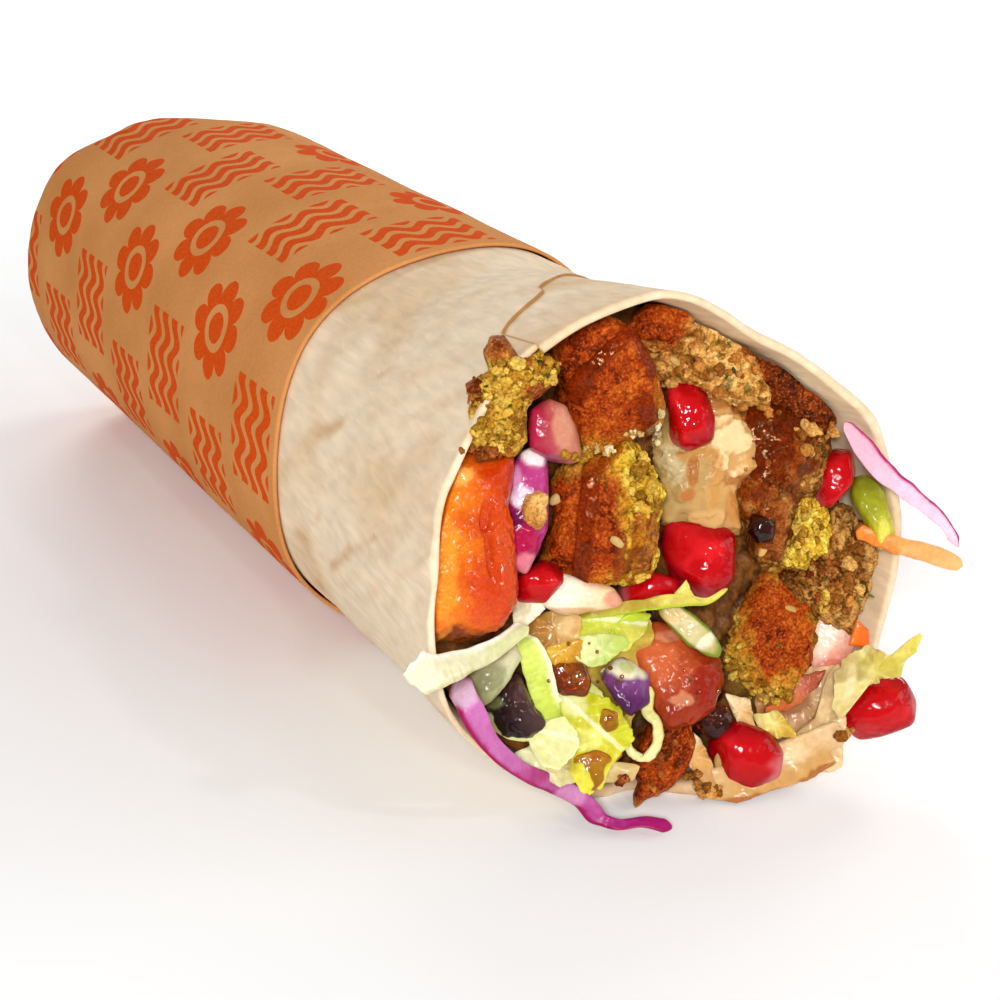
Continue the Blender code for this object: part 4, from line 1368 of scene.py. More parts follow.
@dataclass
class Strip:
    """A shred cut from a leaf or root: a flat strip carried along a route, with colour across and along it."""

    name: str
    slot: str
    route: tuple[tuple[float, float, float], ...]
    widths: tuple[tuple[float, float], ...]
    thick: float
    wide: tuple[float, float, float]
    colours: tuple[str, str]
    edge: str = ""
    edge_side: float = 1.0
    ruffle: float = 0.0
    waves: float = 5.0
    patches: tuple[Patch, ...] = ()
    node: bool = True
    wet: float = 0.6
    seed: int = 0
    in_mouth: bool = False

    def build(self, material: bpy.types.Material) -> None:
        """Make the strip and put it in the scene."""
        count = 110
        route = curve_through(self.route, count)
        wide = np.array(self.wide)
        if self.in_mouth:
            route = mouth_spot(route[:, 0], route[:, 1], route[:, 2])
            wide = np.stack([RIGHT, UP, DEPTH]).T @ wide
        at = np.linspace(0.0, 1.0, count)
        half = through(self.widths, at)
        half = half * (1.0 + 0.10 * noise(stacked(at * 12.0, self.seed, 0.0), 1.0, self.seed))
        half = half * np.sqrt(np.clip(np.minimum(at, 1.0 - at) * 30.0, 0.05, 1.0))
        over = np.cos(np.arange(24) / 24 * 2.0 * math.pi)
        bend = np.sin(self.waves * 2.0 * math.pi * at + self.seed)[:, None]
        lift = self.ruffle * (over * bend + 0.4 * (over**2 - 0.5))
        lift = lift + 0.12 * noise(stacked(at[:, None] * 40.0, over * 2.0, self.seed), 1.0, self.seed + 9)
        skin = ribbon(route, half, np.full(count, self.thick) * np.sqrt(np.clip(half / half.max(), 0.3, 1.0)), wide,
                      lift)
        across, along = skin.marks["across"], skin.marks["along"]
        first, second = (linear(code) for code in self.colours)
        grain = 0.3 * fractal(skin.points * np.array((1.0, 1.0, 1.0)), 1.8, self.seed + 2)
        tint = mixed(np.broadcast_to(first, skin.points.shape), second, between(along + grain, 0.1, 0.9))
        if self.edge:
            tint = mixed(tint, linear(self.edge), between(0.8 * np.abs(across) + 0.3 * across * self.edge_side + 0.4 * grain, 0.5, 0.85))
        for patch in self.patches:
            tint = mixed(tint, linear(patch.colour), patch.share * patch.cover(skin.points))
        skin.mark(tint=tint, wet=self.wet)
        write_piece(self.name + "_detail", skin, material, (self.name,) if self.node else ())


@dataclass
class Bits:
    """Loose crumbs, seeds, herbs or drops, each a small uneven lump set on whatever lies under it.

    `places` are ellipses (right, up, half width, half height, count); `shape` is the share of the size across,
    deep and along, and `tumble` turns the bits any way rather than only in the mouth's plane.
    """

    name: str
    slot: str
    places: tuple[tuple[float, float, float, float, int], ...]
    size: tuple[float, float]
    colours: tuple[str, ...]
    shape: tuple[float, float, float] = (1.0, 0.8, 0.9)
    uneven: float = 0.35
    tumble: bool = True
    sink: float = 0.1
    wet: float = 0.2
    cells: int = 4
    seed: int = 0

    def build(self, material: bpy.types.Material) -> None:
        """Make the bits as one piece and put it in the scene."""
        rng = np.random.default_rng(self.seed)
        where = np.repeat(np.array([place[:4] for place in self.places], float), [p[4] for p in self.places], axis=0)
        count = len(where)
        angle, out = rng.uniform(0.0, 2.0 * math.pi, count), np.sqrt(rng.uniform(0.0, 1.0, count))
        right = where[:, 0] + where[:, 2] * out * np.cos(angle)
        up = where[:, 1] + where[:, 3] * out * np.sin(angle)
        half = self.size[0] * (self.size[1] / self.size[0]) ** (rng.uniform(0.0, 1.0, count) ** 1.6) / 2.0
        held = mouth_spot(right, up, FRONT.at(right, up))[:, 2] > 1.5
        right, up, half, count = right[held], up[held], half[held], int(held.sum())
        ways, quads = cube_sphere(self.cells)
        turn = rng.uniform(0.0, 2.0 * math.pi, count)
        if self.tumble:
            axes = np.linalg.qr(rng.normal(size=(count, 3, 3)))[0]
            axes *= np.sign(np.linalg.det(axes))[:, None, None]
        else:
            axes = np.stack(
                [
                    RIGHT * np.cos(turn)[:, None] + UP * np.sin(turn)[:, None],
                    np.broadcast_to(DEPTH, (count, 3)),
                    UP * np.cos(turn)[:, None] - RIGHT * np.sin(turn)[:, None],
                ],
                axis=1,
            )
        own = ways * np.array(self.shape)
        apart = 9.0 * np.arange(count)[:, None, None]
        lumpy = 1.0 + self.uneven * noise(ways[None] * 1.2 + apart, 1.0, self.seed)
        lumpy = lumpy + 0.6 * self.uneven * noise(ways[None] * 2.6 + apart, 1.0, self.seed + 1)
        offset = np.einsum("ni,cij->cnj", own, axes) * (lumpy * half[:, None])[..., None]
        middle = mouth_spot(right, up, FRONT.at(right, up) + (self.sink - 0.35) * half)
        points = (middle[:, None] + offset).reshape(-1, 3)
        every = (quads[None] + np.arange(count)[:, None, None] * len(ways)).reshape(-1, 4)
        palette = np.array([linear(code) for code in self.colours])
        tone = palette[rng.integers(0, len(palette), count)] * rng.uniform(0.8, 1.15, count)[:, None]
        skin = Skin(points, every).mark(tint=np.repeat(tone, len(ways), axis=0), wet=self.wet)
        write_piece(self.name, skin, material)


@dataclass
class Bed:
    """The mixed filling behind the pieces: crumbs pressed together and soaked, filling the roll's inside. Its
    near-black colour, darker still in its hollows, is painted shade deep in the mouth.
    """

    columns: int = 300
    rows: int = 90

    def depth_y(self, x: Array, z: Array) -> Array:
        """Where the bed's face lies: a slanted plane a little behind the pieces."""
        return -55.5 - 0.087 * x + 0.226 * (z - 40.0)

    def build(self, material: bpy.types.Material) -> None:
        """Make the bed and put it in the scene."""
        angle = np.arange(self.columns) / self.columns * 2.0 * math.pi
        share = np.linspace(0.015, 0.985, self.rows)[:, None]
        guess = np.full((1, self.columns), -57.0)
        for _ in range(4):
            radius = (ROLL.radius(guess, angle) - ROLL.wall - 0.5) * share
            low = ROLL.wall + 0.5
            face = ROLL.ring(radius, angle, guess, low)
            guess = self.depth_y(face[..., 0], face[..., 2])
        front = ROLL.ring(radius, angle, guess, low)
        chunk, chunk_id = grains(front, 3.4, 401)
        crumb, crumb_id = grains(front, 1.5, 402)
        fine, _ = grains(front, 0.8, 403)
        relief = 1.8 * (chunk - 0.6) + 0.8 * (crumb - 0.5) + 0.3 * (fine - 0.5) + 1.2 * fractal(front, 9.0, 404)
        front = front - np.array((0.0, 1.0, 0.0)) * (relief * between(share, 1.0, 0.9))[..., None]
        back = np.array((-40.0, -20.0, 10.0, 50.0, 84.0))[:, None]
        side = ROLL.ring(ROLL.radius(back, angle) - ROLL.wall - 0.8, angle, back, ROLL.floor(back) + ROLL.wall + 0.8)
        rows = np.concatenate([front, side])
        skin = tube(rows, front[0].mean(axis=0), side[-1].mean(axis=0))
        grain = np.concatenate([(0.6 * chunk_id + 0.4 * crumb_id), np.zeros(side.shape[:2])]).ravel()
        height = np.concatenate([relief, np.zeros(side.shape[:2])]).ravel()
        grain, height = np.append(grain, (0.0, 0.0)), np.append(height, (0.0, 0.0))
        # Painted shade: from near black to brown by grain number and relief height, so the hollows are darkest.
        tint = mixed(np.broadcast_to(linear("#2A160A"), skin.points.shape), linear("#7A4A20"),
                     between(grain + 0.5 * height, -0.6, 1.2))
        tint = mixed(tint, linear("#6A5A1E"), 0.5 * between(fractal(skin.points, 5.0, 405), 0.2, 0.6))
        skin.mark(tint=tint, wet=between(fractal(skin.points, 4.0, 406), -0.3, 0.4) * 0.8)
        write_piece("filling_bed", skin, material, ("filling_core",))


MORSELS: tuple[Morsel, ...] = (
    Morsel(
        "tahini_pool", "tahini_sauce",
        Outline(10.5, ((-3, 24.5), (2.5, 28.5), (6.5, 29), (9, 25), (12, 22), (13.5, 16.5), (11, 14), (10, 12),
                       (11, 6), (6.5, 5.5), (2.5, 6), (-2, 7), (-3.5, 14.5), (-4, 19)), 5.0, 2.6, (0.15, -0.15)),
        ("#B09058", "#CC9858"), (1.0, 0.3),
        (Patch(2.7, 16.0, 0.9, 2.4, "#A85A1C", 0.75, 1.0, -0.3), Patch(2.1, 12.2, 0.9, 0.9, "#B4601E", 0.75, 1.0),
         Patch(8.4, 20.5, 3.0, 3.6, "#E8CC98", 0.85, 0.8, 0.5, torn=0.9), Patch(5.0, 8.5, 3.5, 1.4, "#D8A868", 0.6, 0.8, 0.3),
         # Painted shadow: the dark olive blot along the pool's left edge, right -2.8, up 10.
         Patch(-2.8, 10, 1.2, 5.0, "#6A6A34", 0.6), Patch(9.5, 9.5, 1.6, 3.0, "#B8702A", 0.6, 1.0, -0.4),
         Patch(4.0, 18.5, 3.0, 1.2, "#B87C36", 0.6, 1.0, torn=0.8), Patch(6.2, 14.0, 1.0, 4.0, "#C48A42", 0.7, 1.0, torn=0.9),
         Patch(-0.5, 17.0, 1.6, 3.0, "#C8BC90", 0.6, 0.8, torn=0.8), Patch(9.6, 14.6, 2.0, 1.2, "#9A5418", 0.7, 1.0, torn=0.8),
         Patch(7.6, 25.5, 2.4, 1.4, "#9A5A1E", 0.7, 1.0, torn=0.8)),
        ((6.0, 0.9), (2.2, 0.6), (1.0, 0.3)), 0.8, 60, seed=11,
    ),
    Morsel(
        "sweet_potato_wedge", "sweet_potato",
        Outline(-9.5, ((-32.5, 19), (-29, 18.5), (-24.5, 18), (-25, 13), (-25.3, 10), (-24.5, 5.5), (-24.3, 1.5),
                       (-24.5, -3), (-26, -6), (-29.5, -9), (-33.5, -10), (-37.5, -9.5), (-38.3, -6), (-38.3, -0.5),
                       (-37.5, 5.5), (-36.8, 10.5), (-36.5, 12.5), (-35, 16.5)), 5.5, 3.0, (0.25, -0.1)),
        ("#E87C12", "#BC3404"), (1.0, 0.0),
        (Patch(-28.6, 9.0, 0.7, 3.0, "#C03A0C", 0.6, 1.0, -0.9, turn=-8.0),
         Patch(-27.9, 3.2, 0.7, 3.6, "#B83A0C", 0.6, 1.0, -0.9, turn=8.0),
         Patch(-26.2, 4.0, 1.3, 7.0, "#C8480E", 0.7, 1.0, 0.7, turn=2.0),
         Patch(-32.0, -9.0, 5.0, 1.7, "#5A2008", 0.85, 1.0, torn=0.6),
         Patch(-31.0, -5.0, 5.0, 2.6, "#D8641A", 0.5, 0.9, torn=0.6),
         Patch(-36.6, -1.0, 0.6, 8.0, "#C86A14", 0.6, 0.9), Patch(-30, 17.2, 4.0, 1.0, "#B04A10", 0.7, 0.9, torn=0.5),
         Patch(-32.5, 15.0, 2.0, 1.2, "#FFC060", 0.5, 1.0, 0.2),
         Patch(-27.5, -3.0, 3.4, 4.4, "#C43A0C", 0.6, 1.0, 0.3, torn=0.7),
         Patch(-34.6, 1.0, 2.0, 8.0, "#F89A2C", 0.5, 0.9, torn=0.6)),
        ((9.0, 0.8), (2.4, 0.4), (1.1, 0.18)), 0.85, 64, rounds=14, seed=12,
    ),
    Morsel(
        "pickled_onion_dice", "pickled_onion",
        Outline(-6.5, ((-22.5, 24.5), (-19.5, 26), (-17, 25), (-15.5, 22), (-14.5, 17), (-16.5, 16.5), (-19.5, 17),
                       (-22.5, 18.5), (-23, 21.5)), 4.0, 3.4, (0.3, -0.1)),
        ("#A42440", "#B87058"), (1.0, 0.15),
        (Patch(-21.8, 22.0, 0.9, 3.0, "#B01E48", 0.6), Patch(-17.6, 21.5, 1.5, 3.2, "#CC8E70", 0.7, 0.9),
         Patch(-19.0, 17.3, 3.5, 0.6, "#8A4A62", 0.7, 1.0)),
        ((5.0, 0.3), (1.2, 0.05)), 0.95, 28, rounds=3, seed=13,
    ),
    Morsel(
        "red_cabbage_core", "red_cabbage",
        Outline(-6.5, ((-23.5, 18.3), (-22, 19), (-19.8, 18.7), (-19.6, 15.5), (-19.6, 12.5), (-19.8, 7), (-21.2, 3.5),
                       (-22.7, 0.2), (-25, 1.2), (-26, 5.5), (-26, 10), (-25.2, 15.5)), 3.4, 2.8, (0.2, 0.0)),
        ("#861450", "#B43A7C"), (1.0, 0.4),
        (Patch(-21.8, 17.6, 1.8, 1.5, "#F4ECEA", 0.95, 1.0), Patch(-23.2, 11.4, 2.4, 1.5, "#EADCEC", 0.9, 1.0, turn=-25.0),
         Patch(-24.4, 14.0, 0.9, 2.0, "#D09AC0", 0.7), Patch(-23.6, 5.8, 2.6, 2.2, "#A8063E", 0.9, 1.0, 0.3),
         Patch(-23.0, 2.2, 1.6, 1.8, "#D87A84", 0.85, 1.0), Patch(-24.6, 8.4, 1.2, 1.2, "#6A1048", 0.8)),
        ((4.0, 0.4), (1.4, 0.12)), 0.95, 36, rounds=4, seed=14,
    ),
    Morsel(
        "pickled_pepper", "pickled_pepper",
        Outline(18.0, ((29, 15), (31.5, 15.3), (33.5, 14.5), (34.6, 10.5), (35.8, 6), (33.3, 3), (31, 7.5),
                       (28.6, 11.5)), 3.0, 2.6, (0.2, 0.0)),
        ("#8A8E18", "#C0B82E"), (0.8, -1.0),
        (Patch(31.0, 14.0, 2.4, 1.2, "#6E6A18", 0.6), Patch(33.4, 6.0, 1.0, 2.4, "#E2D860", 0.6, 1.0, 0.3)),
        ((4.0, 0.35), (1.2, 0.08)), 0.95, 26, seed=15,
    ),
    Morsel(
        "tomato_dice", "tomato",
        Outline(12.0, ((-7, -11), (-3, -7.5), (0.5, -8.5), (3.5, -11.5), (7.5, -13), (8, -17), (6.5, -21), (3, -23.5),
                       (-1, -24.5), (-3.5, -20.5), (-5, -16), (-6.5, -13.5)), 5.5, 2.8, (0.1, 0.1)),
        ("#BE5228", "#8E2A10"), (1.0, -0.7),
        (Patch(5.0, -16.8, 2.6, 3.2, "#8E1C08", 0.85, 1.0, -0.3, torn=0.5), Patch(1.0, -19.4, 1.8, 1.0, "#E09A70", 0.5, 1.0, torn=0.7),
         Patch(-2.5, -13.0, 3.0, 3.4, "#CC6636", 0.6, 0.9), Patch(3.5, -22.0, 2.5, 1.0, "#A03010", 0.7, 1.0),
         Patch(-0.5, -9.6, 3.0, 0.7, "#E09A78", 0.5, 1.0)),
        ((5.0, 0.7), (1.6, 0.25), (0.8, 0.08)), 0.9, 40, rounds=5, seed=16,
    ),
    Morsel(
        "onion_purple_dice", "pickled_onion",
        Outline(5.5, ((-11.5, -15.5), (-9.5, -13), (-8, -12.5), (-4, -15), (-4, -19.5), (-7, -21.5), (-9.5, -19)),
                3.2, 3.4, (0.2, 0.3)),
        ("#4A1848", "#7A4078"), (0.4, 1.0),
        (Patch(-8.2, -14.2, 3.6, 1.4, "#E6E0BC", 0.9, 1.0, turn=-15.0), Patch(-7.6, -14.0, 1.2, 1.0, "#A8B45A", 0.7, 1.0)),
        ((3.0, 0.2),), 0.95, 24, rounds=3, seed=17,
    ),
    Morsel(
        "onion_rib_white", "pickled_onion",
        Outline(0.0, ((-21, -3), (-17.8, 0.5), (-13.5, -0.8), (-9.5, -1.8), (-7.8, -4.5), (-12, -5.4), (-17, -5.8),
                      (-19.5, -5)), 2.4, 2.6, (0.1, 0.1)),
        ("#F6E8CE", "#EEC89C"), (1.0, -0.4),
        (Patch(-9.5, -3.6, 1.8, 1.4, "#C8604A", 0.6, 1.0), Patch(-16.0, -5.2, 4.0, 0.6, "#B87A34", 0.6, 1.0)),
        ((4.0, 0.35), (1.4, 0.08)), 0.85, 26, seed=18,
    ),
    Morsel(
        "cucumber_slice", "cucumber",
        Outline(-2.5, ((-32, -15), (-28.5, -12), (-24.5, -9.5), (-23.5, -12), (-25.3, -15.5), (-28, -18.5),
                       (-31, -20)), 2.6, 2.6, (0.0, 0.2)),
        ("#8C8A5C", "#C8C49A"), (0.6, 1.0), (Patch(-28, -15, 3.0, 1.4, "#6E6C44", 0.6, turn=35.0),),
        ((3.0, 0.3), (1.0, 0.08)), 0.85, 24, seed=19,
    ),
    Morsel(
        "aubergine_piece", "aubergine",
        Outline(2.0, ((-26.5, -16), (-24, -14.5), (-22.5, -18), (-19.5, -22), (-22, -24.5), (-26, -24), (-29, -19.5)),
                3.4, 2.4),
        ("#1E1012", "#4A2E2C"), (1.0, 0.6), (Patch(-27.5, -18.8, 1.2, 1.0, "#6A6A3E", 0.7, 0.8),),
        ((3.0, 0.6), (1.2, 0.25)), 0.95, 26, seed=20,
    ),
    Morsel(
        "onion_pink_slice", "pickled_onion",
        Outline(22.0, ((23.5, -7.5), (28.5, -6), (31, -10), (29, -15.5), (24, -17.5), (22.5, -13.5)), 1.4, 2.8),
        ("#EAC8B0", "#E0907C"), (0.6, -1.0),
        (Patch(25.5, -10.5, 1.6, 3.6, "#F0DCC4", 0.8, 1.0, turn=-25.0), Patch(26, -15.5, 2.4, 1.2, "#C86A54", 0.7, 1.0)),
        ((3.0, 0.4), (1.0, 0.08)), 0.95, 24, seed=21,
    ),
    # Painted shade: the lettuce heap's dark olive colours stand in for the shaded greens deep behind the leaves.
    Morsel(
        "lettuce_heap", "lettuce",
        Outline(12.0, ((-27, -8), (-18, -5.5), (-8, -5.5), (-4, -9), (-5, -20), (-8, -27), (-14, -31), (-20, -29),
                       (-27, -23), (-29, -16)), 5.5, 2.4),
        ("#5A4814", "#9A7E24"), (0.3, 1.0), (Patch(-14, -12, 5, 4, "#A88E30", 0.6, torn=0.6),),
        ((5.0, 1.4), (2.0, 0.6)), 0.8, 40, seed=22,
    ),
    Morsel(
        "curl_slice", "lettuce",
        Outline(7.5, ((-2.8, -4.5), (0, -4.2), (2.8, -6.2), (6, -9), (7.5, -11.5), (6.8, -13), (4.3, -12.3),
                      (1.8, -10.6), (-0.3, -8.5), (-2.3, -6.5)), 1.3, 3.0, (0.1, 0.0)),
        ("#D8CC9C", "#B8A868"), (1.0, -1.0),
        (Patch(4.8, -10.4, 2.2, 0.9, "#F4ECD0", 0.7, 1.0, -0.3, turn=40.0), Patch(-0.6, -6.2, 1.8, 1.1, "#D2A868", 0.6, 1.0)),
        ((2.5, 0.3),), 1.0, 26, rim="#74861C", seed=23, node=False,
    ),
    Morsel(
        "crumb_nugget_mid", "falafel_crumb",
        Outline(-10.5, ((-23, 12), (-21, 12.5), (-20, 11.5), (-20, 8.5), (-21, 7), (-22.5, 8), (-23.5, 10)), 2.0, 2.4),
        ("#B8803C", "#D8A860"), (1.0, 1.0), (), ((2.2, 0.5), (1.0, 0.35), (0.6, 0.15)), 0.3, 30, seed=30, node=False,
    ),
    Morsel(
        "sauce_pool_left", "tahini_sauce",
        Outline(2.6, ((-19.5, -13), (-14, -13), (-12.5, -16), (-13.3, -18.5), (-17.5, -18.5), (-19.5, -16)), 0.5, 2.4),
        ("#B85A10", "#D8821C"), (0.5, 1.0), (), ((2.5, 0.25),), 1.0, 18, seed=24, node=False,
    ),
    Morsel(
        "sauce_pool_tip", "tahini_sauce",
        Outline(0.9, ((-16, -27), (-12.5, -25.5), (-9.5, -27), (-11.2, -31), (-13, -33), (-15.5, -31)), 0.5, 2.4),
        ("#DC8E18", "#ECAE34"), (0.5, 1.0), (), ((2.5, 0.25),), 1.0, 18, seed=25, node=False,
    ),
    Morsel(
        "sauce_pool_low", "tahini_sauce",
        Outline(15.5, ((3, -20.5), (6.5, -20), (9.5, -22), (10, -25.5), (7, -26.5), (4, -24.5)), 1.6, 2.4),
        ("#6A1E08", "#A0400E"), (0.5, 1.0), (), ((2.0, 0.4),), 1.0, 20, seed=26, node=False,
    ),
    Morsel(
        "sauce_pool_bead", "tahini_sauce",
        Outline(11.0, ((12, 9), (14.5, 9.6), (16, 7.5), (15.4, 5), (13, 4.4), (11.5, 6.4)), 1.8, 2.2),
        ("#4A1A08", "#803C10"), (0.5, 1.0), (), ((2.0, 0.15),), 1.0, 18, seed=27, node=False,
    ),
    Morsel(
        "sauce_pool_left_two", "tahini_sauce",
        Outline(1.6, ((-11.3, -19.7), (-9, -20.5), (-8.8, -23), (-10.6, -23.8), (-12, -22)), 0.6, 2.2),
        ("#DC8E18", "#ECAE34"), (0.5, 1.0), (), ((2.0, 0.15),), 1.0, 14, seed=28, node=False,
    ),
)

ARILS: tuple[Aril, ...] = (
    Aril("pomegranate_aril_top", Outline(4.1, ((-1.5, 29.3), (2.5, 29.5), (4.5, 27.5), (5.6, 23.5), (5.4, 20.5),
                                               (2, 18.8), (0, 18.6), (-1.5, 20), (-1.4, 24), (-2, 27)), 4.0), 301,
         (-0.8, -1.0)),
    Aril("pomegranate_aril_right", Outline(16.0, ((26.5, 20), (29.5, 19), (30, 16.5), (28.5, 13.5), (27, 9.5),
                                                  (25, 8.8), (23, 9.5), (22.6, 13), (23, 17.5)), 3.6), 302, (-1.0, -0.2)),
    Aril("pomegranate_aril_middle", Outline(11.0, ((-1, 8.5), (2.5, 9), (6.7, 8), (10.5, 4.8), (10, 0.2), (7.2, -3),
                                                   (3.3, -4), (0, -0.8), (-1.6, 3.5)), 4.5), 303, (-0.2, -1.0)),
    Aril("pomegranate_aril_low", Outline(9.4, ((-9.5, -1.6), (-4, 0.6), (-0.5, 0.6), (2, -1.5), (0.2, -4),
                                               (-4.5, -5), (-9.5, -4.6)), 3.6), 304, (-1.0, 0.0)),
    Aril("pomegranate_aril_left", Outline(-1.0, ((-24.5, 1), (-20, 2.5), (-16.5, 0), (-20, -4), (-24, -4)), 3.2), 305,
         (0.0, -3.0)),
    Aril("pomegranate_aril_lip", Outline(17.0, ((7.2, -25.3), (10.5, -23.4), (15.2, -25), (18, -28.5), (17.3, -32),
                                                (12.5, -34), (8.7, -32.4), (6, -28.5)), 4.2), 306, (1.0, -0.5)),
    Aril("pomegranate_aril_edge", Outline(21.4, ((28.2, -21.5), (31, -18.5), (33.5, -17), (37.3, -17), (40, -21),
                                                 (39.4, -24.3), (34, -26.3), (31, -27), (28.2, -24.8)), 4.2), 307,
         (1.0, -0.1)),
)

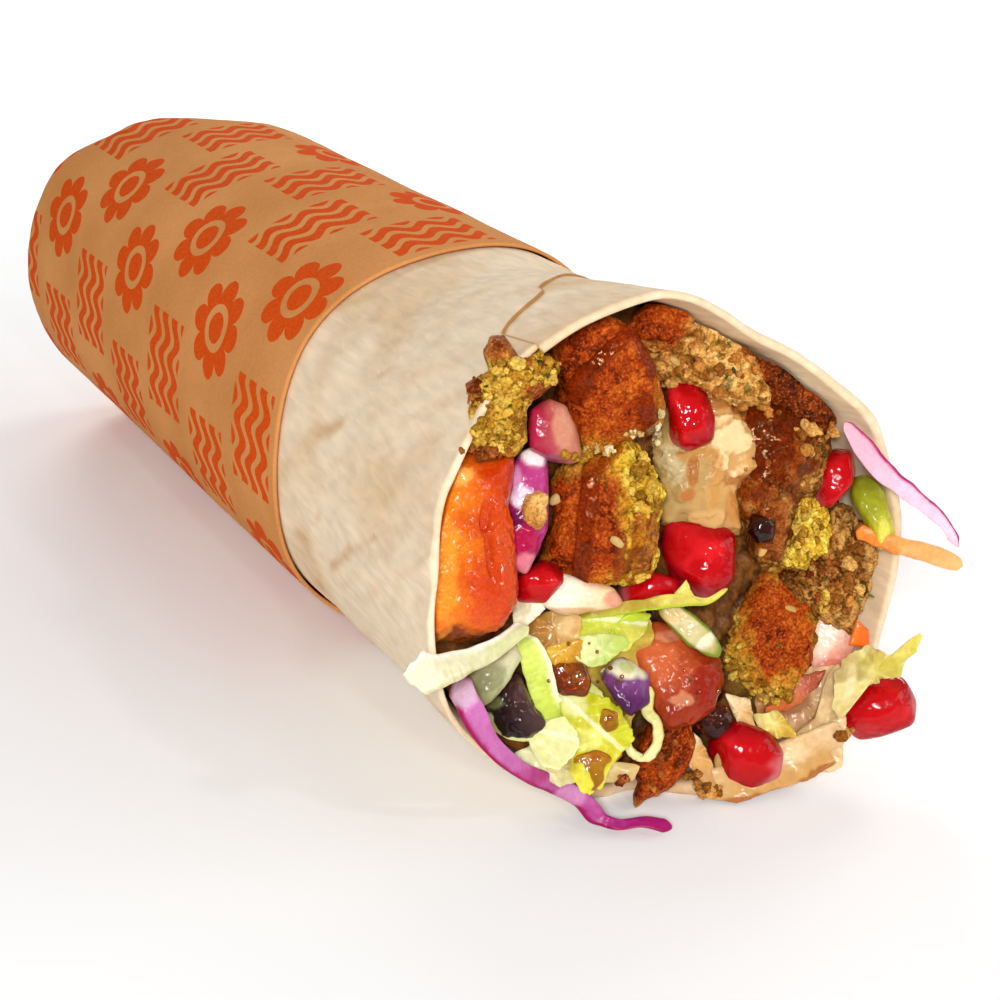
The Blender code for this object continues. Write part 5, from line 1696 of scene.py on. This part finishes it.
LEAVES: tuple[Leaf, ...] = (
    Leaf("lettuce_leaf_behind", "lettuce",
         Outline(7.5, ((-23.5, -4), (-17.5, -2.5), (-10, -4), (-4, -5.5), (-3, -10), (-5.5, -19), (-8.5, -28.5),
                       (-13, -30), (-17.5, -28.5), (-22, -25.5), (-26, -19), (-26, -10)), 0.35),
         ("#A8882C", "#C4A844"), (1.0, 0.6), ruffle=0.9, swell=1.8, seed=520, wet=0.95,
         patches=(Patch(-9, -17, 3.0, 4.0, "#8A6A34", 0.6), Patch(-20, -20, 4.0, 4.0, "#5A4018", 0.6, torn=0.5))),
    Leaf("lettuce_leaf_upper", "lettuce",
         Outline(5.0, ((-17.5, -4), (-11.5, -4), (-5.5, -5.5), (-4, -7.5), (-7.5, -11.5), (-13, -12), (-17.5, -10)), 0.3,
                 lean=(0.1, 0.3)),
         ("#C2C83C", "#D2CE58"), (1.0, 0.5), vein=(-17.0, -6.0, -4.5, -7.5), ruffle=0.7, swell=1.2, seed=521),
    Leaf("lettuce_leaf_rib_side", "lettuce",
         Outline(3.8, ((-23.5, -13), (-20, -11.5), (-16, -13.5), (-11.5, -17.5), (-9.5, -21), (-11.5, -22.5),
                       (-16, -19.5), (-20.5, -17.5)), 0.35, lean=(0.1, 0.0)),
         ("#C6CE56", "#DADC82"), (1.0, -0.5), vein=(-22.5, -13.5, -10.5, -21.0), ruffle=0.6, swell=1.2, seed=522),
    Leaf("lettuce_leaf_cream_low", "lettuce",
         Outline(3.4, ((-21.5, -25.5), (-16, -25.5), (-11.5, -28), (-5.5, -28.5), (-6.5, -31), (-11.5, -31.5),
                       (-17.5, -31), (-20.5, -28.5)), 0.35),
         ("#D8C890", "#C8AC70"), (1.0, -0.4), ruffle=0.4, seed=523),
    Leaf("tortilla_rim_low", "tortilla",
         Outline(17.0, ((5.5, -35.6), (10.5, -36.2), (16, -34.4), (21.5, -33), (26.4, -30.5), (28, -25.5), (26.5, -23.5),
                        (23.5, -24.5), (18.5, -26.5), (14, -28.5), (10, -29.5), (5.5, -31)), 0.5, lean=(0.1, 0.1)),
         ("#DCB888", "#C89858"), (0.3, -1.0), ruffle=0.4, swell=0.9, seed=524, wet=0.9,
         patches=(Patch(14, -35.6, 8.0, 1.0, "#9A5420", 0.75, 1.0, torn=0.5, turn=8.0),
                  Patch(24.5, -31.5, 4.0, 1.0, "#9A5420", 0.75, 1.0, torn=0.5, turn=25.0),
                  Patch(19, -28.5, 3.0, 1.6, "#E8CFA0", 0.6, 1.0))),
    Leaf("tortilla_strip_back", "tortilla",
         Outline(21.5, ((14, -18.5), (19, -17), (24.5, -14.5), (28.5, -15.5), (27.5, -24), (20, -27), (14, -25)), 0.5),
         ("#C08A58", "#D8B284"), (1.0, 0.4), ruffle=0.5, swell=1.2, seed=526, wet=0.9,
         patches=(Patch(19, -21, 4.0, 2.0, "#8A4A20", 0.6, 1.0, torn=0.6),)),
    Leaf("lettuce_leaf_edge", "lettuce",
         Outline(17.0, ((27.5, -14.2), (29, -12.2), (31.5, -11.4), (33.5, -12.6), (35.2, -13.2), (37, -12.3),
                        (39.6, -8.6), (39.8, -10.4), (38.6, -13.4), (36.4, -16.4), (33.6, -17.0), (31, -18.4),
                        (28.5, -21), (27.0, -23.5), (25.5, -20.5), (25.8, -17)), 0.3, lean=(-0.1, 0.2)),
         ("#D8C484", "#D8CC62"), (1.0, 0.3), ruffle=1.6, waves=5.0, swell=2.2,
         ragged=0.1, seed=525, wet=0.85, node="lettuce_leaf_right",
         patches=(Patch(31, -14.5, 1.0, 3.4, "#B09A4C", 0.6, 1.0, turn=-35.0), Patch(35, -14.6, 0.7, 3.0, "#C4B048", 0.6, 1.0, turn=-70.0),
                  Patch(28.4, -17.5, 0.8, 3.0, "#EAD8A8", 0.7, 1.0, turn=-15.0))),
    Leaf("lettuce_leaf_mid", "lettuce",
         Outline(5.5, ((-15.5, -5.5), (-9.5, -5.5), (-3.5, -6), (-5, -9), (-7.5, -10), (-9.5, -9), (-11.5, -8.5),
                       (-15, -9)), 0.3, lean=(0.0, 0.3)),
         ("#C8D03A", "#B2C030"), (1.0, 0.5), ruffle=0.5, seed=501),
    Leaf("lettuce_leaf_cell", "lettuce",
         Outline(3.6, ((-15.5, -9.3), (-11.5, -8.8), (-8, -9.2), (-7, -10.5), (-10.8, -13.5), (-13, -14), (-15.5, -12.8)),
                 0.35, lean=(0.1, 0.2)),
         ("#D6DC96", "#B8C862"), (1.0, -0.5), ruffle=0.2, cell_marks=0.35, seed=502),
    Leaf("lettuce_flap_brown", "lettuce",
         Outline(2.6, ((-23, -7.3), (-20, -5.6), (-16.5, -5.2), (-14.2, -6.3), (-14.8, -9.5), (-18, -10.5), (-20, -11),
                       (-22.5, -9.8)), 0.35),
         ("#A8742E", "#D2A868"), (1.0, 0.2), ruffle=0.4, seed=503, wet=1.0,
         patches=(Patch(-17, -7.5, 1.6, 1.6, "#E0C08A", 0.6),)),
    Leaf("lettuce_leaf_amber", "lettuce",
         Outline(3.0, ((-19.5, -9.8), (-16, -8.8), (-14.2, -10), (-14.8, -13.8), (-18, -14), (-20, -12.7)), 0.35),
         ("#D8AE3C", "#C08A24"), (1.0, -0.6), ruffle=0.3, seed=504, wet=1.0),
    Leaf("lettuce_flap_white", "lettuce",
         Outline(0.2, ((-24.5, -2.2), (-20.8, -1.6), (-19.8, -5), (-22.3, -7.3), (-24.3, -9), (-25, -5)), 0.4,
                 lean=(0.2, 0.0)),
         ("#DED2B0", "#F0E8D0"), (1.0, 0.4), ruffle=0.3, seed=505, patches=(Patch(-23, -4.5, 0.9, 1.5, "#B8A274", 0.5),)),
    Leaf("lettuce_leaf_low", "lettuce",
         Outline(3.2, ((-25.5, -27.5), (-21, -25), (-19, -29), (-15, -29.6), (-13.5, -31), (-17.5, -32), (-21, -30.4)),
                 0.35),
         ("#E6E2B4", "#D2C890"), (1.0, 0.4), ruffle=0.4, seed=506),
    Leaf("lettuce_leaf_pale", "lettuce",
         Outline(1.4, ((-30, -20.2), (-26, -21), (-24, -22.5), (-20, -21.6), (-17, -20.8), (-15, -23.5), (-14.8, -25.5),
                       (-17.5, -29), (-20.3, -28.5), (-22, -26.5), (-22, -25), (-25.5, -24.6), (-28, -23.2)), 0.4,
                 lean=(-0.1, 0.1)),
         ("#C8CA74", "#E2DFA0"), (1.0, -0.6), vein=(-29.0, -21.2, -15.5, -24.5), ruffle=0.6, swell=1.2, seed=507),
    Leaf("lettuce_leaf_big", "lettuce",
         Outline(1.8, ((-18.5, -17), (-13.5, -17.3), (-9.5, -19), (-7.8, -21.5), (-6.3, -24.5), (-8.5, -27),
                       (-10.3, -28.5), (-11, -31.5), (-13, -33), (-14.8, -32), (-16.5, -29), (-16, -26.5),
                       (-16.5, -23.5), (-17.5, -20.5)), 0.4, lean=(0.1, 0.15)),
         ("#C2C026", "#D8CE3C"), (0.4, -1.0), vein=(-17.0, -18.5, -8.5, -26.0), ruffle=0.9, swell=1.3, ragged=0.1,
         seed=508,
         patches=(Patch(-15.6, -19.3, 2.0, 1.8, "#F0F0C0", 0.5), Patch(-8.0, -24.5, 1.2, 2.6, "#C8CC2C", 0.5),
                  Patch(-13.4, -24.6, 2.6, 1.6, "#F6F29A", 0.5))),
    Leaf("lettuce_spike", "lettuce",
         Outline(5.5, ((-2.5, -4.5), (-0.5, -3.2), (1.6, -0.8), (2.6, -3.0), (4, -4.5), (1, -5)), 0.3),
         ("#CCBE4E", "#E2D272"), (0.0, 1.0), ruffle=0.2, seed=509),
    Leaf("lettuce_crumple", "lettuce",
         Outline(16.5, ((13, -22.5), (17, -21.8), (19, -24), (20, -26), (17, -26.2), (14.5, -25.5)), 0.4),
         ("#E6D888", "#D8B84E"), (1.0, -0.5), ruffle=0.8, waves=5.0, swell=1.2, seed=510),
    Leaf("tortilla_flake_lip", "tortilla",
         Outline(14.5, ((0, -24.5), (2, -23.8), (4.8, -26.2), (6.6, -30), (7.2, -33.5), (5, -33), (2.6, -30),
                        (0.5, -27)), 0.5, lean=(0.1, 0.0)),
         ("#E2CCA2", "#C89A5E"), (0.6, -1.0), ruffle=0.6, seed=511, wet=0.7,
         patches=(Patch(4.5, -29, 1.6, 2.0, "#D8A050", 0.7, 1.0),)),
    Leaf("tortilla_strip_cream", "tortilla",
         Outline(16.0, ((8.5, -19), (12.5, -20), (13.5, -24.5), (10.6, -24)), 0.5),
         ("#E8CFA2", "#D2A468"), (0.5, -1.0), ruffle=0.4, seed=512, wet=0.8),
    Leaf("tomato_slice_thin", "tomato",
         Outline(20.0, ((20, -17), (25.3, -15.6), (24, -18.4), (19.6, -21.2)), 0.5),
         ("#C8705A", "#A84E30"), (1.0, 0.0), ruffle=0.2, seed=513, wet=0.9),
    Leaf("tortilla_flap_cream", "tortilla",
         Outline(18.5, ((24.5, -17.5), (27, -14.5), (28, -17.5), (28.5, -21), (27.8, -25), (27.4, -31), (24, -32),
                        (19.5, -31), (17.5, -28), (19.5, -26.5), (21.5, -25), (23.5, -22)), 0.4, lean=(0.1, 0.0)),
         ("#D0B07A", "#DEC290"), (1.0, -0.6), ruffle=1.0, swell=2.2, seed=514, wet=0.9,
         patches=(Patch(21.5, -23.5, 2.4, 1.2, "#A8642C", 0.5, 1.0), Patch(26.0, -24.0, 0.7, 5.0, "#B89460", 0.6, 1.0, turn=-12.0),
                  Patch(23.5, -29.0, 3.4, 0.8, "#BC8444", 0.6, 1.0, torn=0.6), Patch(24.2, -26.4, 2.4, 0.7, "#EED8B0", 0.7, 1.0))),
    Leaf("carrot_bit_right", "carrot",
         Outline(18.0, ((28.4, -11.6), (29.6, -7.6), (31.6, -9.2), (31.8, -12.2)), 0.6),
         ("#F07A22", "#E8641A"), (1.0, 0.0), ruffle=0.05, ragged=0.02, seed=515),
)

STRIPS: tuple[Strip, ...] = (
    Strip("red_cabbage_strand_right", "red_cabbage",
          ((26.2, 23.2, 9.0), (29.5, 19.0, 9.5), (32.6, 15.6, 11.0), (37.3, 12.2, 13.4), (43.3, 8.0, 18.7),
           (46.4, 3.8, 21.3)),
          ((0.0, 0.9), (0.2, 1.6), (0.4, 1.6), (0.7, 1.3), (0.92, 0.9), (1.0, 0.3)), 0.4, (0.6, 1.0, 0.0),
          ("#E0A8B8", "#E8C8DC"), "#A80A66", 0.8, 0.3, 1.6, in_mouth=True, seed=601),
    Strip("carrot_shred_right", "carrot",
          ((34.5, -67.5, 38.4), (39.0, -71.8, 36.6), (44.5, -73.5, 34.4), (50.0, -75.5, 31.6)),
          ((0.0, 1.3), (0.9, 1.5), (1.0, 0.9)), 0.8, (0.1, 0.2, 0.95), ("#EE8434", "#F8AE6C"), ruffle=0.05, seed=602),
    Strip("carrot_shred_low", "carrot", ((16.5, -70.0, 12.0), (22.0, -70.5, 13.0), (27.0, -70.5, 16.0)),
          ((0.0, 0.7), (0.5, 1.3), (1.0, 0.8)), 0.6, (0.0, 0.2, 0.95), ("#C8642E", "#D88050"), ruffle=0.05, wet=0.9,
          seed=603),
    Strip("red_cabbage_strand_bottom", "red_cabbage",
          ((-33.0, -15.0, -6.5), (-31.0, -18.6, -10.5), (-28.0, -24.2, -7.5), (-23.5, -28.8, -1.5), (-18.6, -31.8, 5.0),
           (-14.4, -34.4, 7.5), (-11.8, -37.2, 8.4), (-8.6, -38.4, 8.0), (-4.6, -38.0, 8.0), (-0.4, -38.8, 7.6)),
          ((0.0, 2.2), (0.1, 1.9), (0.24, 1.4), (0.4, 1.35), (0.52, 1.5), (0.64, 1.6), (0.72, 1.0), (0.86, 0.95),
           (1.0, 1.1)), 0.6, (0.8, 0.6, 0.2), ("#BC6AA4", "#A01C6C"), "#96084C", -1.0, 0.3, 1.8, in_mouth=True,
          seed=604,
          patches=(Patch(-32.0, -16.5, 2.0, 2.0, "#E6D2E2", 0.6), Patch(-21.5, -30.0, 3.0, 1.6, "#A81660", 0.5),
                   Patch(-16.0, -33.6, 2.4, 1.6, "#D8A0C8", 0.5), Patch(-2.0, -37.4, 2.4, 1.4, "#A01458", 0.6))),
    Strip("lettuce_strip_left", "lettuce",
          ((-22.9, -7.0, -6.8), (-27.5, -10.2, -10.6), (-32.6, -12.0, -15.4), (-36.2, -12.8, -18.0), (-40.2, -13.0, -19.6)),
          ((0.0, 1.3), (0.3, 1.6), (0.6, 2.3), (0.8, 3.0), (0.92, 1.7), (1.0, 0.2)), 0.4, (-0.3, 1.0, 0.1),
          ("#CCCA94", "#E4DCC0"), "#F0EAD8", 1.0, 0.5, 1.6, in_mouth=True, seed=605,
          patches=(Patch(-33.0, -14.6, 5.0, 0.8, "#A8A468", 0.5, turn=20.0),)),
    Strip("lettuce_strip_veined", "lettuce",
          ((-24.3, -8.2, 1.2), (-22.0, -11.5, 1.0), (-20.8, -15.0, 1.2), (-19.6, -19.0, 1.6), (-17.0, -22.3, 2.4)),
          ((0.0, 1.0), (0.3, 2.3), (0.8, 2.2), (1.0, 1.2)), 0.3, (1.0, 0.3, 0.2), ("#D2DC6A", "#C0D04E"),
          "#EEF0C0", 1.0, 0.5, 1.2, node=False, seed=607, in_mouth=True),
    Strip("lettuce_strip_ragged", "lettuce",
          ((-16.0, -6.4, 4.4), (-11.5, -5.6, 4.0), (-7.5, -5.0, 4.6), (-4.5, -4.6, 4.4), (-1.5, -4.1, 4.8),
           (2.0, -4.0, 5.4), (5.0, -4.1, 6.4), (8.0, -2.3, 6.8)),
          ((0.0, 0.8), (0.4, 1.0), (0.7, 0.9), (1.0, 0.25)), 0.3, (0.2, 1.0, 0.3), ("#B8A03C", "#DACB5E"),
          "#A8B82C", -1.0, 0.4, 2.6, node=False, seed=608, in_mouth=True),
    Strip("lettuce_strip_loop", "lettuce",
          ((-4.0, -17.0, 5.0), (-4.4, -20.5, 4.4), (-3.0, -22.5, 3.6), (-3.0, -25.5, 3.4), (-4.6, -27.6, 3.6),
           (-6.6, -27.0, 4.0), (-7.8, -25.0, 4.6)),
          ((0.0, 0.9), (0.5, 0.9), (1.0, 0.6)), 0.6, (1.0, 0.1, 0.4), ("#D8CE84", "#E6E0A4"), "#B8A44C", 1.0, 0.15,
          2.0, node=False, seed=609, in_mouth=True),
)

BITS: tuple[Bits, ...] = (
    Bits("golden_bits_crumb", "falafel_crumb",
         ((4.5, 31, 7.5, 3.6, 22), (20.8, 21, 2.6, 3.0, 16), (12.5, 24.8, 4.0, 1.2, 6), (27.8, 0.0, 3.2, 5.6, 24),
          (24.5, 22.0, 1.2, 1.2, 4), (3.5, -31.8, 1.8, 1.0, 7), (25.6, -4.0, 3.0, 3.5, 12),
          (6.0, -34.2, 2.4, 0.9, 14), (28.2, -25.8, 1.3, 1.3, 10)),
         (0.8, 2.6), ("#BC8040", "#A66A2C", "#D09C54", "#86501E", "#B47634"), uneven=0.45, cells=6, seed=701),
    Bits("yellow_bits_crumb", "falafel_crumb",
         ((-25, 27, 4.0, 4.0, 30), (-27.2, 20.5, 3.4, 2.2, 24), (-20.0, 30.0, 2.4, 2.4, 14), (-5.6, 13, 2.2, 4.6, 22),
          (21.5, 7, 2.6, 4.6, 22), (16, -20, 3.4, 1.4, 20), (10.5, -14, 1.4, 3.6, 12), (24.2, -5.0, 0.6, 2.0, 8),
          (-15.5, 17.8, 2.6, 0.7, 8), (-6, 0.0, 2.4, 0.7, 6)),
         (0.7, 2.1), ("#D0A23A", "#DCB650", "#B08026", "#C8A040", "#946A1E"), uneven=0.45, cells=6, seed=702),
    Bits("brown_bits_crumb", "falafel_crust",
         ((-27.0, 32.8, 0.9, 0.9, 6), (-28.5, 18.0, 3.6, 0.6, 14), (15.5, 16, 2.2, 6.0, 10), (24, -1, 3.0, 3.6, 14),
          (-1, -28, 2.2, 3.6, 10), (-8.3, -31.4, 0.9, 1.1, 8), (-30.0, 26.4, 0.5, 2.0, 8)),
         (0.7, 1.8), ("#84401A", "#64280E", "#A05A28", "#743816"), uneven=0.45, cells=6, seed=703),
    Bits("cream_bits_crumb", "falafel_crumb",
         ((-12.0, 18.6, 2.6, 0.6, 12), (-6.6, 21.0, 2.0, 0.5, 8), (-3.0, 22.0, 0.6, 2.6, 10)),
         (0.5, 1.4), ("#D2BC84", "#C0A262", "#DCCB9A"), uneven=0.45, cells=7, seed=704),
    Bits("herb_flecks", "lettuce",
         ((-24, 26, 6, 7, 5), (4, 32, 7, 4, 4), (28, -1, 5, 7, 7), (-5, 14, 3, 4, 3), (14, -14, 5, 5, 3)),
         (0.6, 1.2), ("#4A5A1C", "#5E6E24", "#36441A"), (1.0, 0.3, 0.6), 0.4, seed=705),
    Bits("sesame_seeds", "falafel_crust",
         ((-0.8, 32.0, 0.1, 0.1, 1), (-18.3, 11.4, 0.1, 0.1, 1), (14.2, 3.4, 0.1, 0.1, 1), (19.3, -6.0, 0.1, 0.1, 1),
          (-9.5, 5.2, 0.1, 0.1, 1), (7.5, -29.5, 0.1, 0.1, 1)),
         (2.0, 2.6), ("#CCA868", "#C09650"), (0.56, 0.36, 1.0), 0.12, False, 0.5, 0.5, 8, seed=706),
    Bits("amber_beads_drop", "tahini_sauce",
         ((14.5, 15, 4.0, 9.5, 16), (-14, -16, 6, 7, 12), (4, -17, 4.0, 5, 6)),
         (0.4, 1.0), ("#B0702A", "#D09848"), (1.0, 0.6, 1.0), 0.1, False, 0.1, 1.0, 5, seed=707),
)


@dataclass
class Studio:
    """A pale floor, soft light and the camera."""

    camera_at: tuple[float, float, float] = (-158.762, -283.131, 182.283)
    lens_mm: float = 72.822
    sensor_mm: float = 36.0

    def build(self) -> None:
        """Put the floor, the lamps and the camera in the scene."""
        scene = bpy.context.scene
        scene.view_settings.view_transform = "Standard"
        world = bpy.data.worlds.new("studio")
        scene.world = world
        world.use_nodes = True
        world.node_tree.nodes["Background"].inputs["Color"].default_value = (1.0, 1.0, 1.0, 1.0)
        world.node_tree.nodes["Background"].inputs["Strength"].default_value = 0.34
        self.floor()
        self.lamp("key", (-420.0, -600.0, 440.0), 130.0, 4.6)
        self.lamp("backdrop", (280.0, 1000.0, 480.0), 500.0, 9.5, (280.0, 999.0, 0.0))
        self.lamp("floor_right", (620.0, 260.0, 360.0), 300.0, 2.6, (620.0, 259.0, 0.0))
        self.lamp("fill", (520.0, -380.0, 300.0), 380.0, 0.9)
        self.lamp("spark_left", (-160.0, -620.0, 330.0), 30.0, 0.5)
        self.lamp("spark_right", (160.0, -560.0, 480.0), 30.0, 0.4)
        self.camera()

    def floor(self) -> None:
        """A wide matte white sheet."""
        material, tree, shader = start_material("backdrop_paper_white")
        place = add(tree, "ShaderNodeTexCoord").outputs["Object"]
        cloud = add(tree, "ShaderNodeTexNoise", {"Vector": place, "Scale": 2.0}).outputs["Fac"]
        tone = add(tree, "ShaderNodeMapRange", {"Value": cloud, 3: 0.93, 4: 0.95}).outputs[0]
        tree.links.new(tone, shader.inputs["Base Color"])
        shader.inputs["Roughness"].default_value = 0.9
        mesh = bpy.data.meshes.new("floor")
        side = 4.0
        mesh.from_pydata([(-side, -side, 0), (side, -side, 0), (side, side, 0), (-side, side, 0)], [], [(0, 1, 2, 3)])
        mesh.materials.append(material)
        floor = bpy.data.objects.new("floor", mesh)
        bpy.context.scene.collection.objects.link(floor)

    def lamp(
        self,
        name: str,
        at: tuple[float, float, float],
        size_mm: float,
        watts: float,
        aim: tuple[float, float, float] = (0.0, -30.0, 35.0),
    ) -> None:
        """A square area lamp aimed at a point, as a rule the mouth."""
        light = bpy.data.lights.new(name, "AREA")
        light.size = size_mm * MM
        light.energy = watts
        holder = bpy.data.objects.new(name, light)
        bpy.context.scene.collection.objects.link(holder)
        place = np.array(at)
        back = place - np.array(aim)
        self.aim(holder, place, back / np.linalg.norm(back))

    def aim(self, thing: bpy.types.Object, place: Array, back: Array) -> None:
        """Put a thing at a place, with its own +Z along `back` and its top upwards."""
        right = np.cross(np.array((0.0, 0.0, 1.0)), back)
        right /= np.linalg.norm(right)
        up = np.cross(back, right)
        at = (place + ROLL_IN_ROW) * MM
        thing.matrix_world = Matrix([[right[k], up[k], back[k], at[k]] for k in range(3)] + [[0.0, 0.0, 0.0, 1.0]])

    def camera(self) -> None:
        """The camera, looking at the mouth from the front left and above."""
        camera = bpy.data.cameras.new("camera")
        camera.lens = self.lens_mm
        camera.sensor_width = self.sensor_mm
        camera.clip_start = 0.01
        holder = bpy.data.objects.new("camera", camera)
        bpy.context.scene.collection.objects.link(holder)
        self.aim(holder, np.array(self.camera_at), -DEPTH)
        bpy.context.scene.camera = holder


def build_pieces() -> None:
    """Make the smooth pieces, the leaves, the shreds and the loose bits, back to front."""
    crumb = FoodFinish("falafel_fried_chickpea", 0.5, 0.3, 0.5, 0.75, 0.1, flecked=0.4, gleam="#FFD2A0").make()
    soaked = FoodFinish("filling_soaked", 0.5, 0.12, 0.3, 0.6, 0.15).make()
    flesh = FoodFinish("pomegranate_flesh_clear", 3.0, 0.10, 0.05, 0.2, 0.06, inside_glow=0.25, glow_depth_mm=2.0, clear=0.4, ior=1.36).make()
    stone = FoodFinish("pomegranate_seed", 0.8, 0.05, 0.2, 0.5, 0.3).make()
    moist = FoodFinish("vegetable_moist", 0.7, 0.04, 0.08, 0.45, 0.16, inside_glow=0.15, glow_depth_mm=0.8).make()
    fried = FoodFinish("sweet_potato_fried", 0.6, 0.1, 0.16, 0.5, 0.16, inside_glow=0.15, glow_depth_mm=1.0, ripple_height_mm=0.4).make()
    leaf = FoodFinish("lettuce_wet", 1.2, 0.05, 0.08, 0.5, 0.18, inside_glow=0.35, glow_depth_mm=1.0).make()
    cream = FoodFinish("tahini_sauce_thick", 2.0, 0.03, 0.04, 0.4, 0.14, inside_glow=0.3, glow_depth_mm=2.0).make()
    glaze = FoodFinish("sauce_amber_glossy", 3.0, 0.02, 0.05, 0.2, 0.05, clear=0.9, ior=1.4).make()
    Bed().build(soaked)
    for piece in FALAFELS:
        torn = piece.node.split("_", 1)[1] in ("broken_gold", "right", "crumble_left", "yellow_bit")
        piece.build(crumb, "falafel_crumb" if torn else "falafel_crust")
    finishes = {"falafel_crumb": crumb, "sweet_potato": fried, "tahini_sauce": cream, "lettuce": leaf, "carrot": moist}
    for morsel in MORSELS:
        morsel.build(glaze if "sauce_pool" in morsel.name else finishes.get(morsel.slot, moist))
    for aril in ARILS:
        aril.build(flesh, stone)
    for sheet in LEAVES:
        sheet.build(leaf)
    for strip in STRIPS:
        strip.build(leaf if strip.slot == "lettuce" else moist)
    for bits in BITS:
        bits.build({"crumb": crumb, "drop": glaze}.get(bits.name.split("_")[-1], moist))


def main() -> None:
    """Build the wrap's looks in order."""
    logging.basicConfig(level=logging.INFO, format="%(message)s")
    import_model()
    Studio().build()
    PaperSleeve().build()
    Tortilla().build()
    build_pieces()


if __name__ == "__main__":
    main()
